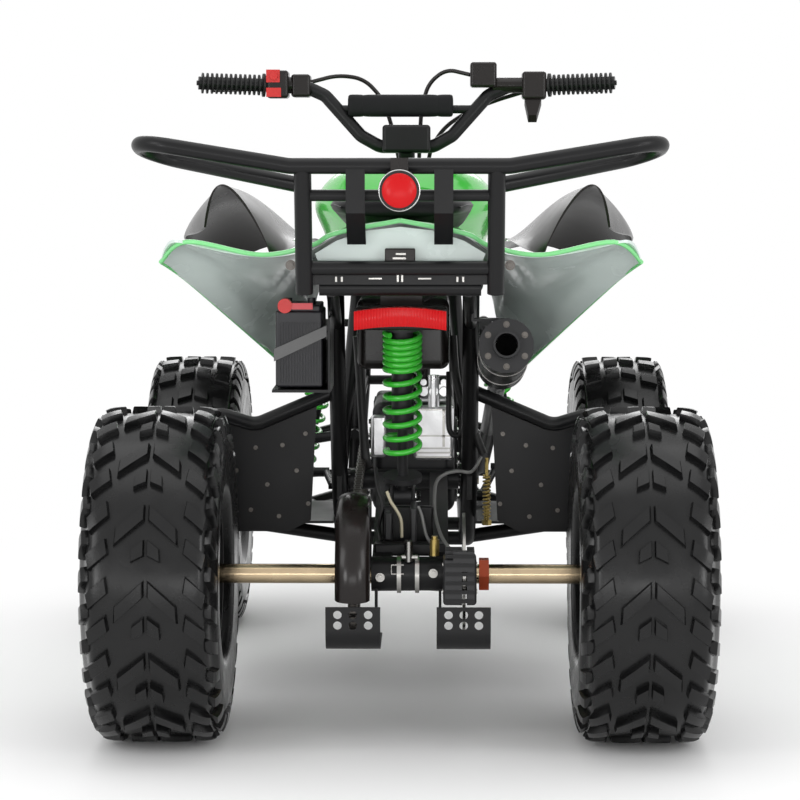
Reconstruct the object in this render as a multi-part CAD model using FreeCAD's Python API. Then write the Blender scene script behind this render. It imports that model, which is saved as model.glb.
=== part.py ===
import FreeCAD
import Part

import math
import os

from FreeCAD import Vector

# A youth sport quad bike, in millimetres.  +X is the rider's right, +Y is forward, +Z is up.
# The origin is on the ground, under the middle of the whole vehicle.

# Driving dimensions
WHEELBASE = 970.0
TYRE_RADIUS = 241.3
FRONT_OVERHANG = 260.0
REAR_TRACK = 688.0
FRONT_TRACK = 752.0
REAR_TYRE_WIDTH = 192.0
FRONT_TYRE_WIDTH = 165.0
REAR_RIM_WIDTH = 150.0
FRONT_RIM_WIDTH = 128.0
RIM_RADIUS = 101.6
BEAD_TOP = 113.0
HANDLEBAR_HALF_WIDTH = 345.0
SEAT_HALF_WIDTH = 104.0
RAIL_RADIUS = 13.0
SMALL_TUBE_RADIUS = 11.0
PANEL_THICKNESS = 3.5
STEM_LEAN = math.radians(25.0)
CASTER = math.radians(6.0)

# Places worked out from them
REAR_AXLE_Y = -(WHEELBASE + FRONT_OVERHANG - TYRE_RADIUS) / 2.0
AXLE_Z = TYRE_RADIUS
FRONT = WHEELBASE
KINGPIN_X = 280.0
STEERING_ARM = 50.0
PITMAN_PIN_X = 12.0
RUNNING_GAP = 0.05

# Rear axle line-up, from left to right
AXLE_RADIUS = 14.0
SPROCKET_X = -68.0
CARRIER_LEFT = -43.0
CARRIER_RIGHT = 80.0
DISC_X = 90.0
DISC_RADIUS = 88.0
LOCKNUT_X = 112.0

# Chain
REAR_CHAIN_RADIUS = 80.0
FRONT_CHAIN_RADIUS = 30.0
FRONT_SPROCKET_Y = 500.0
FRONT_SPROCKET_Z = 345.0

# Swingarm pivot and rear shock
PIVOT_Y = 400.0
PIVOT_Z = 330.0
SHOCK_TOP = (0.0, 100.0, 615.0)
SHOCK_BOTTOM = (0.0, 160.0, 333.0)

# The frame's tail, where the rack stands
TAIL_Y = -112.0
TAIL_Z = 659.0

# Front suspension pivots
ARM_INNER_X = 100.0
LOWER_ARM_Z = 225.0
UPPER_ARM_Z = 350.0
ARM_HALF_SPREAD = 80.0

SIDES = {"left": -1, "right": 1}


def at(x, y, z):
    """A point measured right, forward and up from the ground under the rear axle's middle."""
    return Vector(x, REAR_AXLE_Y + y, z)


def unit(vector):
    return vector * (1.0 / vector.Length)


def mirrored(shape):
    """The same shape on the other side of the vehicle."""
    return shape.mirror(Vector(0, 0, 0), Vector(1, 0, 0))


def joined(shapes):
    """One solid from pieces that overlap."""
    return shapes[0].multiFuse(shapes[1:]).removeSplitter()


def side_by_side(shapes):
    """Several solids that don't touch, kept in one sub-part."""
    return Part.makeCompound(shapes)


def rod(start, end, radius):
    return Part.makeCylinder(radius, (end - start).Length, start, end - start)


def ring(start, end, outer, inner):
    return rod(start, end, outer).cut(rod(start, end, inner))


def block(low, high):
    size = high - low
    return Part.makeBox(size.x, size.y, size.z, low)


def soft_block(low, high, radius):
    """A box with every edge rounded."""
    solid = block(low, high)
    return solid.makeFillet(radius, solid.Edges)


def rounded_route(points, bend=None):
    """Straight runs joined by tangent arcs, and the arcs' radii.

    With no bend given, each arc is as large as the shorter of its two runs allows.
    """
    edges = []
    radii = []
    start = points[0]
    for before, corner, after in zip(points, points[1:], points[2:]):
        arrive = unit(corner - before)
        leave = unit(after - corner)
        half_turn = arrive.getAngle(leave) / 2.0
        shorter = min((corner - before).Length, (after - corner).Length)
        radius = bend or 0.45 * shorter / math.tan(half_turn)
        reach = radius * math.tan(half_turn)
        first = corner - arrive * reach
        last = corner + leave * reach
        middle = corner + unit(leave - arrive) * (radius / math.cos(half_turn) - radius)
        edges.append(Part.LineSegment(start, first).toShape())
        edges.append(Part.Arc(first, middle, last).toShape())
        radii.append(radius)
        start = last
    edges.append(Part.LineSegment(start, points[-1]).toShape())
    return edges, radii


def tube(points, radius, bend=None):
    """A round tube bent along a route."""
    route = Part.Wire(rounded_route(points, bend)[0])
    start = Part.Wire(Part.makeCircle(radius, points[0], points[1] - points[0]))
    return route.makePipeShell([start], True, False)


def plate(outline, thickness):
    """A flat plate: its outline's points and the vector of its thickness."""
    return Part.Face(Part.makePolygon(outline + [outline[0]])).extrude(thickness)


def smooth_loop(points):
    """A closed smooth outline through the points."""
    curve = Part.BSplineCurve()
    curve.interpolate(points, PeriodicFlag=True)
    return Part.Wire(curve.toShape())


def body_section(y, half_width, bottom, top, shoulder, tuck=0.8):
    """A vehicle body's cross-section: crowned on top, widest at the shoulder, tucked in below."""
    outline = [
        (0.0, top),
        (0.55, top - 0.10 * (top - shoulder)),
        (0.90, shoulder + 0.45 * (top - shoulder)),
        (1.0, shoulder),
        (0.5 + tuck / 2.0, (shoulder + bottom) / 2.0),
        (tuck, bottom),
        (0.0, bottom),
    ]
    right = [at(half_width * across, y, z) for across, z in outline]
    left = [at(-half_width * across, y, z) for across, z in reversed(outline[1:-1])]
    return smooth_loop(right + left)


def lofted(sections):
    return Part.makeLoft(sections, True, False)


def curved_panel(rows, thickness):
    """A thin shell through a grid of points, thickened away from the side that its normals face."""
    last_row = len(rows) - 1
    last_column = len(rows[0]) - 1

    def normal(i, j):
        along = rows[min(i + 1, last_row)][j] - rows[max(i - 1, 0)][j]
        across = rows[i][min(j + 1, last_column)] - rows[i][max(j - 1, 0)]
        return unit(across.cross(along))

    inner = [
        [rows[i][j] - normal(i, j) * thickness for j in range(last_column + 1)]
        for i in range(last_row + 1)
    ]
    surfaces = []
    for grid in (rows, inner):
        surface = Part.BSplineSurface()
        surface.interpolate(grid)
        surfaces.append(surface)
    faces = [surface.toShape() for surface in surfaces]
    first, second = surfaces
    u0, u1, v0, v1 = first.bounds()
    s0, s1, t0, t1 = second.bounds()
    borders = [
        (first.uIso(u0), second.uIso(s0)),
        (first.uIso(u1), second.uIso(s1)),
        (first.vIso(v0), second.vIso(t0)),
        (first.vIso(v1), second.vIso(t1)),
    ]
    for outer_edge, inner_edge in borders:
        faces.append(Part.makeRuledSurface(outer_edge.toShape(), inner_edge.toShape(), 1))
    shell = Part.makeShell(faces)
    shell.sewShape()
    solid = Part.Solid(Part.Shell(shell.Faces))
    if solid.Volume < 0:
        solid.reverse()
    return solid


def both_sides(half_row):
    """A whole row of points from its right half, which starts on the middle plane."""
    left = [Vector(-p.x, p.y, p.z) for p in reversed(half_row[1:])]
    return left + half_row


def stem_point(z):
    """The steering stem's axis at a height."""
    return at(0.0, 640.0 + (860.0 - z) * math.tan(STEM_LEAN), z)


STEM_UP = Vector(0, -math.sin(STEM_LEAN), math.cos(STEM_LEAN))
STEM_BACK = Vector(0, -math.cos(STEM_LEAN), -math.sin(STEM_LEAN))
KINGPIN_UP = Vector(0, -math.sin(CASTER), math.cos(CASTER))


def kingpin_point(side, z):
    """A kingpin's axis at a height."""
    return at(side * KINGPIN_X, FRONT - (z - AXLE_Z) * math.tan(CASTER), z)


# Chassis


def main_frame():
    pieces = []
    for side in (-1, 1):
        loop = [
            at(side * 95, TAIL_Y, TAIL_Z),
            at(side * 105, 60, 655),
            at(side * 105, 330, 645),
            at(side * 78, 560, 640),
            at(side * 78, 800, 612),
            at(side * 90, 1000, 520),
            at(side * 94, 1085, 360),
            at(side * 97, 1085, 225),
            at(side * 100, 960, 225),
            at(side * 100, 455, 225),
            at(side * 103, 390, 330),
            at(side * 103, 235, 648),
        ]
        pieces.append(tube(loop, RAIL_RADIUS, 45.0))
        pieces.append(rod(at(side * 99, 930, 225), at(side * 86, 930, 552), SMALL_TUBE_RADIUS))
        pieces.append(rod(at(side * 95, 885, 350), at(side * 95, 1088, 350), 9.0))
        pieces.append(rod(at(side * 103, 390, 330), at(side * 78, 600, 640), SMALL_TUBE_RADIUS))
        pieces.append(rod(at(side * 103, 265, 585), at(side * 97, -60, TAIL_Z), 9.0))
        pieces.append(rod(at(side * 86, 950, 545), at(side * 150, 950, 545), 7.0))
        pieces.append(block(at(side * 103 - 4, 372, 300), at(side * 103 + 4, 428, 360)))
    cross_tubes = [(TAIL_Y, TAIL_Z, 112), (100, 648, 104), (470, 225, 100), (640, 225, 100), (935, 245, 98)]
    cross_tubes += [(1000, 520, 90), (1085, 240, 96), (330, 645, 104), (575, 638, 78)]
    for y, z, half in cross_tubes:
        pieces.append(rod(at(-half, y, z), at(half, y, z), SMALL_TUBE_RADIUS))
    pieces.append(rod(at(-78, 778, 614), at(78, 778, 614), SMALL_TUBE_RADIUS))
    pieces.append(rod(at(-112, PIVOT_Y, PIVOT_Z), at(112, PIVOT_Y, PIVOT_Z), 7.0))
    for x in (-19, 15):
        pieces.append(block(at(x, 84, 607), at(x + 4, 116, 650)))
    upper_bush = stem_point(624)
    lower_bush = stem_point(262)
    pieces.append(rod(upper_bush - STEM_UP * 16, upper_bush + STEM_UP * 16, 23.0))
    pieces.append(rod(lower_bush - STEM_UP * 12, lower_bush + STEM_UP * 12, 19.0))
    frame = joined(pieces)
    frame = frame.cut(rod(stem_point(270) - STEM_UP * 60, stem_point(270) + STEM_UP * 6, 10.0 + RUNNING_GAP))
    return frame.cut(rod(stem_point(560), stem_point(700), 14.0 + RUNNING_GAP))


def front_bumper():
    pieces = []
    nose = FRONT + FRONT_OVERHANG - SMALL_TUBE_RADIUS
    for side in (-1, 1):
        hoop = [
            at(side * 97, 1095, 236),
            at(side * 97, 1172, 250),
            at(side * 86, nose, 420),
            at(side * 80, 1196, 575),
            at(side * 20, 1196, 575),
        ]
        pieces.append(tube(hoop, SMALL_TUBE_RADIUS, 38.0))
        pieces.append(rod(at(side * 86, nose - 2, 425), at(side * 93, 1088, 385), 9.0))
    pieces.append(rod(at(-21, 1196, 575), at(21, 1196, 575), SMALL_TUBE_RADIUS))
    pieces.append(rod(at(-86, nose - 4, 420), at(86, nose - 4, 420), 9.0))
    pieces.append(rod(at(-93, 1190, 300), at(93, 1190, 300), 9.0))
    return joined(pieces)


RACK_BAR_Y = -170.0
RACK_BAR_Z = 827.0
RACK_UPRIGHT_X = 132.0
RACK_TIP_X = 358.0
RACK_FOOT_Y = TAIL_Y - 14.0


def rear_rack():
    half_loop = [
        at(150, RACK_BAR_Y, RACK_BAR_Z),
        at(RACK_TIP_X, RACK_BAR_Y, RACK_BAR_Z + 34),
        at(RACK_TIP_X, -56, RACK_BAR_Z + 17),
        at(RACK_UPRIGHT_X, -143, 800),
    ]
    loop = [Vector(-p.x, p.y, p.z) for p in reversed(half_loop)] + half_loop
    pieces = [tube(loop, SMALL_TUBE_RADIUS, 43.0)]
    for side in (-1, 1):
        upright_x = side * RACK_UPRIGHT_X
        pieces.append(rod(at(upright_x, -168, 829), at(upright_x, RACK_FOOT_Y, 652), 12.0))
        strap = [(-180, 826), (-176, 826), (-176, 765), (-119, 722), (-121, 719), (-180, 763)]
        outline = [at(side * 60 - 13, y, z) for y, z in strap]
        pieces.append(plate(outline, Vector(26, 0, 0)))
    pieces.append(rod(at(-132, -157, 787), at(132, -157, 787), 8.0))
    pieces.append(rod(at(-132, RACK_FOOT_Y - 4, 687), at(132, RACK_FOOT_Y - 4, 687), 10.0))
    pieces.append(block(at(-132, RACK_FOOT_Y - 2, 664), at(132, RACK_FOOT_Y + 2, 680)))
    return joined(pieces)


def footrest(side):
    nerf_tube = tube(
        [
            at(side * 100, 612, 238),
            at(side * 320, 600, 262),
            at(side * 322, 340, 262),
            at(side * 322, 322, 452),
            at(side * 232, 322, 424),
            at(side * 108, 330, 476),
        ],
        SMALL_TUBE_RADIUS,
        36.0,
    )
    rail_stay = rod(at(side * 100, 470, 228), at(side * 321, 462, 262), SMALL_TUBE_RADIUS)
    platform = block(at(min(side * 112, side * 320), 345, 266), at(max(side * 112, side * 320), 590, 270))
    heel_outline = [(146, 274), (180, 256), (318, 256), (318, 440), (232, 420), (136, 460)]
    heel = plate([at(side * x, 326, z) for x, z in heel_outline], Vector(0, 3, 0))
    return joined([nerf_tube, rail_stay, platform, heel])


def foot_controls():
    gear_lever = joined([
        rod(at(-60, 560, 300), at(-128, 560, 300), 7.0),
        rod(at(-122, 560, 300), at(-135, 640, 312), 6.0),
        rod(at(-130, 640, 312), at(-178, 640, 312), 8.0),
    ])
    brake_pedal = joined([
        rod(at(97, 545, 285), at(128, 545, 285), 9.0),
        rod(at(124, 545, 285), at(150, 648, 318), 6.0),
        rod(at(142, 648, 318), at(196, 648, 318), 9.0),
    ])
    return side_by_side([gear_lever, brake_pedal])


# Bodywork


def rear_fender():
    half_rows = [
        [
            (0, -116, 752), (90, -114, 734), (124, -106, 717),
            (195, -95, 704), (296, -100, 722), (339, -50, 692),
        ],
        [(0, 0, 750), (90, 0, 735), (125, 0, 712), (188, 10, 686), (262, 20, 688), (311, 30, 664)],
        [(0, 160, 738), (90, 160, 722), (122, 160, 695), (168, 165, 655), (216, 170, 628), (259, 165, 602)],
        [(0, 280, 718), (90, 280, 704), (124, 280, 676), (154, 282, 630), (186, 286, 590), (219, 280, 552)],
        [(0, 375, 702), (90, 378, 690), (124, 382, 658), (144, 388, 608), (164, 392, 558), (184, 380, 508)],
    ]
    rows = [both_sides([at(*point) for point in half]) for half in half_rows]
    skin = curved_panel(rows, PANEL_THICKNESS)
    tail = [
        (-112, 690), (112, 690), (118, 706), (88, 724), (45, 738),
        (0, 743), (-45, 738), (-88, 724), (-118, 706),
    ]
    tail_wall = plate([at(x, -106, z) for x, z in tail], Vector(0, 3, 0))
    return side_by_side([skin, tail_wall])


def front_fender(side):
    rows = [
        [(232, 720, 676), (262, 715, 742), (308, 712, 794), (334, 716, 776), (346, 722, 722)],
        [(190, 820, 690), (245, 815, 744), (306, 812, 788), (352, 815, 764), (378, 820, 708)],
        [(165, 950, 696), (232, 950, 736), (305, 950, 770), (368, 950, 742), (402, 950, 696)],
        [(150, 1060, 680), (222, 1062, 714), (298, 1062, 728), (360, 1060, 698), (392, 1058, 660)],
        [(145, 1140, 668), (212, 1148, 680), (282, 1148, 672), (335, 1140, 640), (362, 1130, 606)],
    ]
    skin = curved_panel([[at(*point) for point in row] for row in rows], PANEL_THICKNESS)
    if side < 0:
        skin = mirrored(skin)
    return skin


def tank_cover():
    sections = [
        body_section(425, 92, 708, 792, 742),
        body_section(500, 130, 690, 824, 758),
        body_section(590, 150, 672, 834, 762),
        body_section(680, 146, 668, 812, 748),
        body_section(770, 132, 664, 776, 724),
    ]
    cover = lofted(sections)
    return cover.cut(rod(stem_point(560), stem_point(900), 26.0))


def front_cowl():
    sections = [
        body_section(782, 130, 664, 772, 722),
        body_section(900, 134, 650, 764, 712),
        body_section(1020, 126, 622, 738, 690),
        body_section(1110, 104, 606, 704, 664),
        body_section(1172, 66, 604, 666, 638),
    ]
    return lofted(sections)


def headlights():
    lamps = []
    for side in (-1, 1):
        lamps.append(rod(at(side * 58, 1128, 650), at(side * 62, 1186, 640), 27.0))
    return lamps


def seat():
    sections = [
        body_section(-92, 78, 757, 782, 768, 0.9),
        body_section(-40, 98, 755, 790, 772, 0.9),
        body_section(100, SEAT_HALF_WIDTH, 752, 788, 768, 0.9),
        body_section(250, SEAT_HALF_WIDTH - 4, 736, 778, 756, 0.9),
        body_section(370, 92, 716, 778, 744, 0.9),
        body_section(420, 82, 712, 788, 744, 0.9),
    ]
    return lofted(sections)


# Engine and drive


def engine():
    pieces = [
        soft_block(at(-52, 425, 272), at(80, 625, 450), 18.0),
        rod(at(-57, 548, 345), at(84, 548, 345), 70.0),
        rod(at(40, 482, 352), at(78, 482, 352), 56.0),
        rod(at(0, 600, 372), at(0, 770, 382), 40.0),
        soft_block(at(-54, 742, 330), at(54, 812, 436), 10.0),
    ]
    for index in range(7):
        y = 640 + index * 15
        pieces.append(block(at(-55, y, 322), at(55, y + 4, 432)))
    whole = joined(pieces)
    sprocket_left = at(-120, FRONT_SPROCKET_Y, FRONT_SPROCKET_Z)
    sprocket_right = at(-52, FRONT_SPROCKET_Y, FRONT_SPROCKET_Z)
    return whole.cut(rod(sprocket_left, sprocket_right, 38.0))


def intake():
    return joined([
        rod(at(10, 700, 428), at(10, 640, 492), 17.0),
        soft_block(at(-20, 560, 462), at(40, 640, 520), 8.0),
        rod(at(10, 572, 492), at(0, 350, 560), 22.0),
        soft_block(at(-70, 205, 520), at(70, 362, 628), 14.0),
    ])


def exhaust_pipe():
    route = [
        at(30, 786, 331),
        at(30, 806, 286),
        at(126, 800, 300),
        at(140, 690, 382),
        at(146, 480, 462),
        at(149, 240, 524),
    ]
    return tube(route, 14.0, 30.0)


def silencer():
    front_end = at(149, 262, 520)
    rear_end = at(149, -40, 573)
    along = unit(rear_end - front_end)
    can = rod(front_end + along * 24, rear_end, 37.0)
    cone = Part.makeCone(15.0, 37.0, 24.0, front_end, along)
    cap = rod(rear_end, rear_end + along * 9, 39.0)
    outlet = rod(rear_end + along * 8, rear_end + along * 24, 19.0)
    bore = rod(rear_end - along * 60, rear_end + along * 30, 16.0)
    hanger = joined([
        block(at(147, 120, 565), at(151, 150, 602)),
        block(at(102, 120, 598), at(151, 150, 602)),
    ])
    lug = block(at(102, 120, 598), at(106, 150, 650))
    return joined([can, cone, cap, outlet, hanger, lug]).cut(bore)


def belt_outline(x, radius_change):
    """The chain's loop round both sprockets, as one closed wire in the sprockets' plane."""
    rear_radius = REAR_CHAIN_RADIUS + radius_change
    front_radius = FRONT_CHAIN_RADIUS + radius_change
    rear = at(x, 0, AXLE_Z)
    front = at(x, FRONT_SPROCKET_Y, FRONT_SPROCKET_Z)
    span = front - rear
    rise = math.atan2(span.z, span.y)
    opening = math.acos((rear_radius - front_radius) / span.Length)

    def rim(centre, radius, angle):
        return centre + Vector(0, math.cos(angle), math.sin(angle)) * radius

    top_rear = rim(rear, rear_radius, rise + opening)
    top_front = rim(front, front_radius, rise + opening)
    low_front = rim(front, front_radius, rise - opening)
    low_rear = rim(rear, rear_radius, rise - opening)
    return Part.Wire([
        Part.LineSegment(top_rear, top_front).toShape(),
        Part.Arc(top_front, rim(front, front_radius, rise), low_front).toShape(),
        Part.LineSegment(low_front, low_rear).toShape(),
        Part.Arc(low_rear, rim(rear, rear_radius, rise + math.pi), top_rear).toShape(),
    ])


def chain():
    outer = Part.Face(belt_outline(SPROCKET_X - 6, 4.5)).extrude(Vector(12, 0, 0))
    inner = Part.Face(belt_outline(SPROCKET_X - 7, -4.5)).extrude(Vector(14, 0, 0))
    return outer.cut(inner)


def battery():
    case = soft_block(at(-182, 30, 508), at(-114, 150, 619), 4.0)
    lid = soft_block(at(-179, 33, 613), at(-117, 147, 627), 3.0)
    posts = [rod(at(x, 60, 621), at(x, 60, 636), 6.0) for x in (-165, -131)]
    return joined([case, lid] + posts)


def battery_tray():
    floor = block(at(-187, 24, 501), at(-103, 159, 505))
    back = block(at(-187, 156, 503), at(-103, 159, 569))
    inner_wall = block(at(-106, 24, 503), at(-103, 159, 609))
    hanger = block(at(-106, 100, 599), at(-103, 150, 659))
    return joined([floor, back, inner_wall, hanger])


# Rear end


def swingarm():
    axle_line = at(0, 0, AXLE_Z)
    carrier = rod(at(CARRIER_LEFT, 0, AXLE_Z), at(CARRIER_RIGHT, 0, AXLE_Z), 25.0)
    pivot = rod(at(-86, PIVOT_Y, PIVOT_Z), at(86, PIVOT_Y, PIVOT_Z), 16.0)
    pieces = [carrier, pivot]
    for low_x, high_x in ((-42, -14), (40, 68)):
        beam = [(0, 222), (0, 262), (PIVOT_Y, PIVOT_Z + 14), (PIVOT_Y, PIVOT_Z - 14)]
        pieces.append(plate([at(low_x, y, z) for y, z in beam], Vector(high_x - low_x, 0, 0)))
    pieces.append(block(at(-42, 146, 250), at(68, 174, 286)))
    for x in (-19, 15):
        pieces.append(block(at(x, 146, 280), at(x + 4, 176, 348)))
    pieces.append(block(at(66, -62, 214), at(72, 10, 274)))
    for x in (-38, 54):
        pieces.append(block(at(x, -16, 150), at(x + 4, 16, 225)))
    whole = joined(pieces)
    across = Vector(100, 0, 0)
    whole = whole.cut(rod(axle_line - across, axle_line + across, AXLE_RADIUS + RUNNING_GAP))
    return whole.cut(rod(at(-100, PIVOT_Y, PIVOT_Z), at(100, PIVOT_Y, PIVOT_Z), 7.0 + RUNNING_GAP))


def rear_axle():
    shaft = rod(at(-372, 0, AXLE_Z), at(372, 0, AXLE_Z), AXLE_RADIUS)
    pieces = [shaft]
    for side in (-1, 1):
        pieces.append(rod(at(side * 296, 0, AXLE_Z), at(side * 338, 0, AXLE_Z), 26.0))
        pieces.append(rod(at(side * 334, 0, AXLE_Z), at(side * 340, 0, AXLE_Z), 52.0))
    return joined(pieces)


def axle_locknut():
    centre = at(LOCKNUT_X, 0, AXLE_Z)
    corners = []
    for index in range(6):
        angle = math.pi / 3 * index
        corners.append(centre + Vector(0, math.cos(angle), math.sin(angle)) * 25.0)
    nut = plate(corners, Vector(14, 0, 0))
    bore = rod(centre - Vector(5, 0, 0), centre + Vector(20, 0, 0), AXLE_RADIUS)
    return nut.cut(bore)


def rear_sprocket():
    disc = rod(at(SPROCKET_X - 3, 0, AXLE_Z), at(SPROCKET_X + 3, 0, AXLE_Z), 73.0)
    hub = rod(at(SPROCKET_X - 16, 0, AXLE_Z), at(SPROCKET_X + 20, 0, AXLE_Z), 24.0)
    whole = joined([disc, hub])
    for index in range(5):
        angle = 2 * math.pi * index / 5
        centre = at(SPROCKET_X - 10, 46 * math.cos(angle), AXLE_Z + 46 * math.sin(angle))
        whole = whole.cut(rod(centre, centre + Vector(20, 0, 0), 14.0))
    return whole.cut(rod(at(SPROCKET_X - 20, 0, AXLE_Z), at(SPROCKET_X + 25, 0, AXLE_Z), AXLE_RADIUS))


def brake_disc():
    disc = rod(at(DISC_X - 2, 0, AXLE_Z), at(DISC_X + 2, 0, AXLE_Z), DISC_RADIUS)
    hub = rod(at(81, 0, AXLE_Z), at(106, 0, AXLE_Z), 26.0)
    whole = joined([disc, hub])
    for index in range(6):
        angle = 2 * math.pi * index / 6
        centre = at(DISC_X - 10, 45 * math.cos(angle), AXLE_Z + 45 * math.sin(angle))
        whole = whole.cut(rod(centre, centre + Vector(20, 0, 0), 12.0))
    return whole.cut(rod(at(80, 0, AXLE_Z), at(110, 0, AXLE_Z), AXLE_RADIUS))


def rear_caliper():
    body = soft_block(at(60, -112, 214), at(107, -52, 280), 5.0)
    fins = [block(at(63, -104 + 12 * index, 276), at(104, -99 + 12 * index, 290)) for index in range(4)]
    slot = block(at(DISC_X - 3.5, -120, 180), at(DISC_X + 3.5, -30, 320))
    bridge = block(at(74, -112, 262), at(104, -96, 290))
    disc_room = rod(at(DISC_X - 3.5, 0, AXLE_Z), at(DISC_X + 3.5, 0, AXLE_Z), DISC_RADIUS + 3)
    return joined([joined([body] + fins).cut(slot), bridge.cut(disc_room)])


def arc_band(low_x, high_x, inner, outer, start_degrees, end_degrees):
    """A curved guard round the rear axle's line; degrees turn from straight back towards up."""
    profile = Part.Face(Part.makePolygon([
        at(low_x, -inner, AXLE_Z),
        at(high_x, -inner, AXLE_Z),
        at(high_x, -outer, AXLE_Z),
        at(low_x, -outer, AXLE_Z),
        at(low_x, -inner, AXLE_Z),
    ]))
    centre = at(0, 0, AXLE_Z)
    profile.rotate(centre, Vector(-1, 0, 0), start_degrees)
    return profile.revolve(centre, Vector(-1, 0, 0), end_degrees - start_degrees)


def sprocket_cover():
    band = arc_band(-92, -43, 114, 118, -12, 100)
    web = arc_band(-46, -43, 84, 118, -12, 100)
    bracket = block(at(-46, -60, AXLE_Z + 16), at(-43, 20, AXLE_Z + 108))
    return joined([band, web, bracket])


def skid_plate(low_x, high_x):
    """A bent guard: upright behind the axle, round a bend, then forward under it."""
    outer_bend = rod(at(low_x, -80, 177), at(high_x, -80, 177), 30.0)
    inner_bend = rod(at(low_x, -80, 177), at(high_x, -80, 177), 27.0)
    corner = outer_bend.cut(inner_bend).common(block(at(low_x, -110, 147), at(high_x, -80, 177)))
    upright = block(at(low_x, -110, 177), at(high_x, -107, 211))
    floor = block(at(low_x, -80, 147), at(high_x, 30, 150))
    bent = joined([upright, corner, floor])
    for column in (0.22, 0.5, 0.78):
        x = low_x + (high_x - low_x) * column
        for z in (185, 200):
            bent = bent.cut(rod(at(x, -130, z), at(x, -90, z), 6.0))
        for y in (-64, -40, 14):
            bent = bent.cut(rod(at(x, y, 137), at(x, y, 157), 6.0))
    return bent


def axle_skids():
    return side_by_side([skid_plate(-105, -28), skid_plate(51, 127)])


def damper(top, bottom, body_radius, rod_radius, eye_radius, eye_half):
    """A shock absorber without its spring: two eyes, a body above and a rod below."""
    top = at(*top)
    bottom = at(*bottom)
    along = unit(bottom - top)
    across = Vector(1, 0, 0) if abs(top.x) < 1 else Vector(0, 1, 0)
    length = (bottom - top).Length
    return joined([
        rod(top - across * eye_half, top + across * eye_half, eye_radius),
        rod(bottom - across * eye_half, bottom + across * eye_half, eye_radius),
        rod(top + along * 4, top + along * (0.62 * length), body_radius),
        rod(top + along * (0.5 * length), bottom - along * 4, rod_radius),
        rod(top + along * 18, top + along * 26, body_radius + 13),
        rod(bottom - along * 34, bottom - along * 26, body_radius + 13),
    ])


def rear_shock():
    return damper(SHOCK_TOP, SHOCK_BOTTOM, 16.0, 8.0, 14.0, 13.0)


def coil_sleeve(top, bottom, outer, inner, start, end):
    """The space that a coil spring fills, from start below the top eye to end above the lower one."""
    top = at(*top)
    bottom = at(*bottom)
    along = unit(bottom - top)
    return ring(top + along * start, bottom - along * end, outer, inner)


def rear_spring():
    return coil_sleeve(SHOCK_TOP, SHOCK_BOTTOM, 30.0, 21.0, 27.0, 35.0)


# Front end

FRONT_SHOCK_TOP = (135.0, 950.0, 545.0)
FRONT_SHOCK_BOTTOM = (200.0, 966.0, 252.0)


def on_side(side, point):
    return (side * point[0], point[1], point[2])


def front_arms():
    arms = []
    for side in (-1, 1):
        for inner_z, ball_z, radius in ((LOWER_ARM_Z, 186.0, 11.0), (UPPER_ARM_Z, 316.0, 9.0)):
            ball = kingpin_point(side, ball_z)
            pieces = [rod(ball - KINGPIN_UP * 11, ball + KINGPIN_UP * 11, 15.0)]
            for reach in (-ARM_HALF_SPREAD, ARM_HALF_SPREAD):
                inner = at(side * (ARM_INNER_X + 17), FRONT + reach, inner_z)
                pieces.append(rod(inner, ball, radius))
                pieces.append(rod(inner - Vector(0, 15, 0), inner + Vector(0, 15, 0), radius + 3))
                pieces.append(rod(at(side * ARM_INNER_X, FRONT + reach, inner_z), inner, 6.0))
            if inner_z == LOWER_ARM_Z:
                low_x, high_x = sorted((side * 184, side * 216))
                pieces.append(block(at(low_x, 948, 200), at(high_x, 986, 238)))
                pieces.append(rod(at(side * 176, 925, 210), at(side * 176, 1015, 210), 8.0))
            arms.append(joined(pieces))
    return side_by_side(arms)


def front_shocks():
    dampers = []
    for side in (-1, 1):
        top = on_side(side, FRONT_SHOCK_TOP)
        bottom = on_side(side, FRONT_SHOCK_BOTTOM)
        dampers.append(damper(top, bottom, 13.0, 7.0, 12.0, 12.0))
    return side_by_side(dampers)


def front_springs():
    sleeves = []
    for side in (-1, 1):
        top = on_side(side, FRONT_SHOCK_TOP)
        bottom = on_side(side, FRONT_SHOCK_BOTTOM)
        sleeves.append(coil_sleeve(top, bottom, 24.0, 16.5, 27.0, 35.0))
    return side_by_side(sleeves)


def knuckle(side):
    low = kingpin_point(side, 203)
    high = kingpin_point(side, 299)
    centre = at(side * KINGPIN_X, FRONT, AXLE_Z)
    arm_low = at(side * KINGPIN_X, FRONT, 252)
    arm_end = at(side * KINGPIN_X, FRONT - STEERING_ARM, 252)
    spindle_end = at(side * 372, FRONT, AXLE_Z)
    return joined([
        rod(low, high, 13.0),
        rod(centre, at(side * 300, FRONT, AXLE_Z), 24.0),
        rod(at(side * 296, FRONT, AXLE_Z), at(side * 301, FRONT, AXLE_Z), 62.0),
        rod(centre, spindle_end, 10.0),
        block(arm_end - Vector(9, 0, 4), arm_low + Vector(9, 0, 4)),
        rod(arm_end - Vector(0, 0, 4), arm_end + Vector(0, 0, 4), 12.0),
    ])


def tie_rod(side):
    inner = stem_point(300) + STEM_BACK * STEERING_ARM + Vector(side * PITMAN_PIN_X, 0, 0)
    outer = at(side * KINGPIN_X, FRONT - STEERING_ARM, 268)
    start = inner + STEM_UP * 17
    along = unit(outer - start)
    return joined([
        rod(start - STEM_UP * 7, start + STEM_UP * 7, 10.5),
        rod(start, outer, 6.0),
        rod(start + along * 8, start + along * 40, 9.0),
        rod(outer - along * 42, outer - along * 9, 9.0),
        rod(outer - Vector(0, 0, 8), outer + Vector(0, 0, 8), 12.0),
    ])


# Wheels


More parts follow.
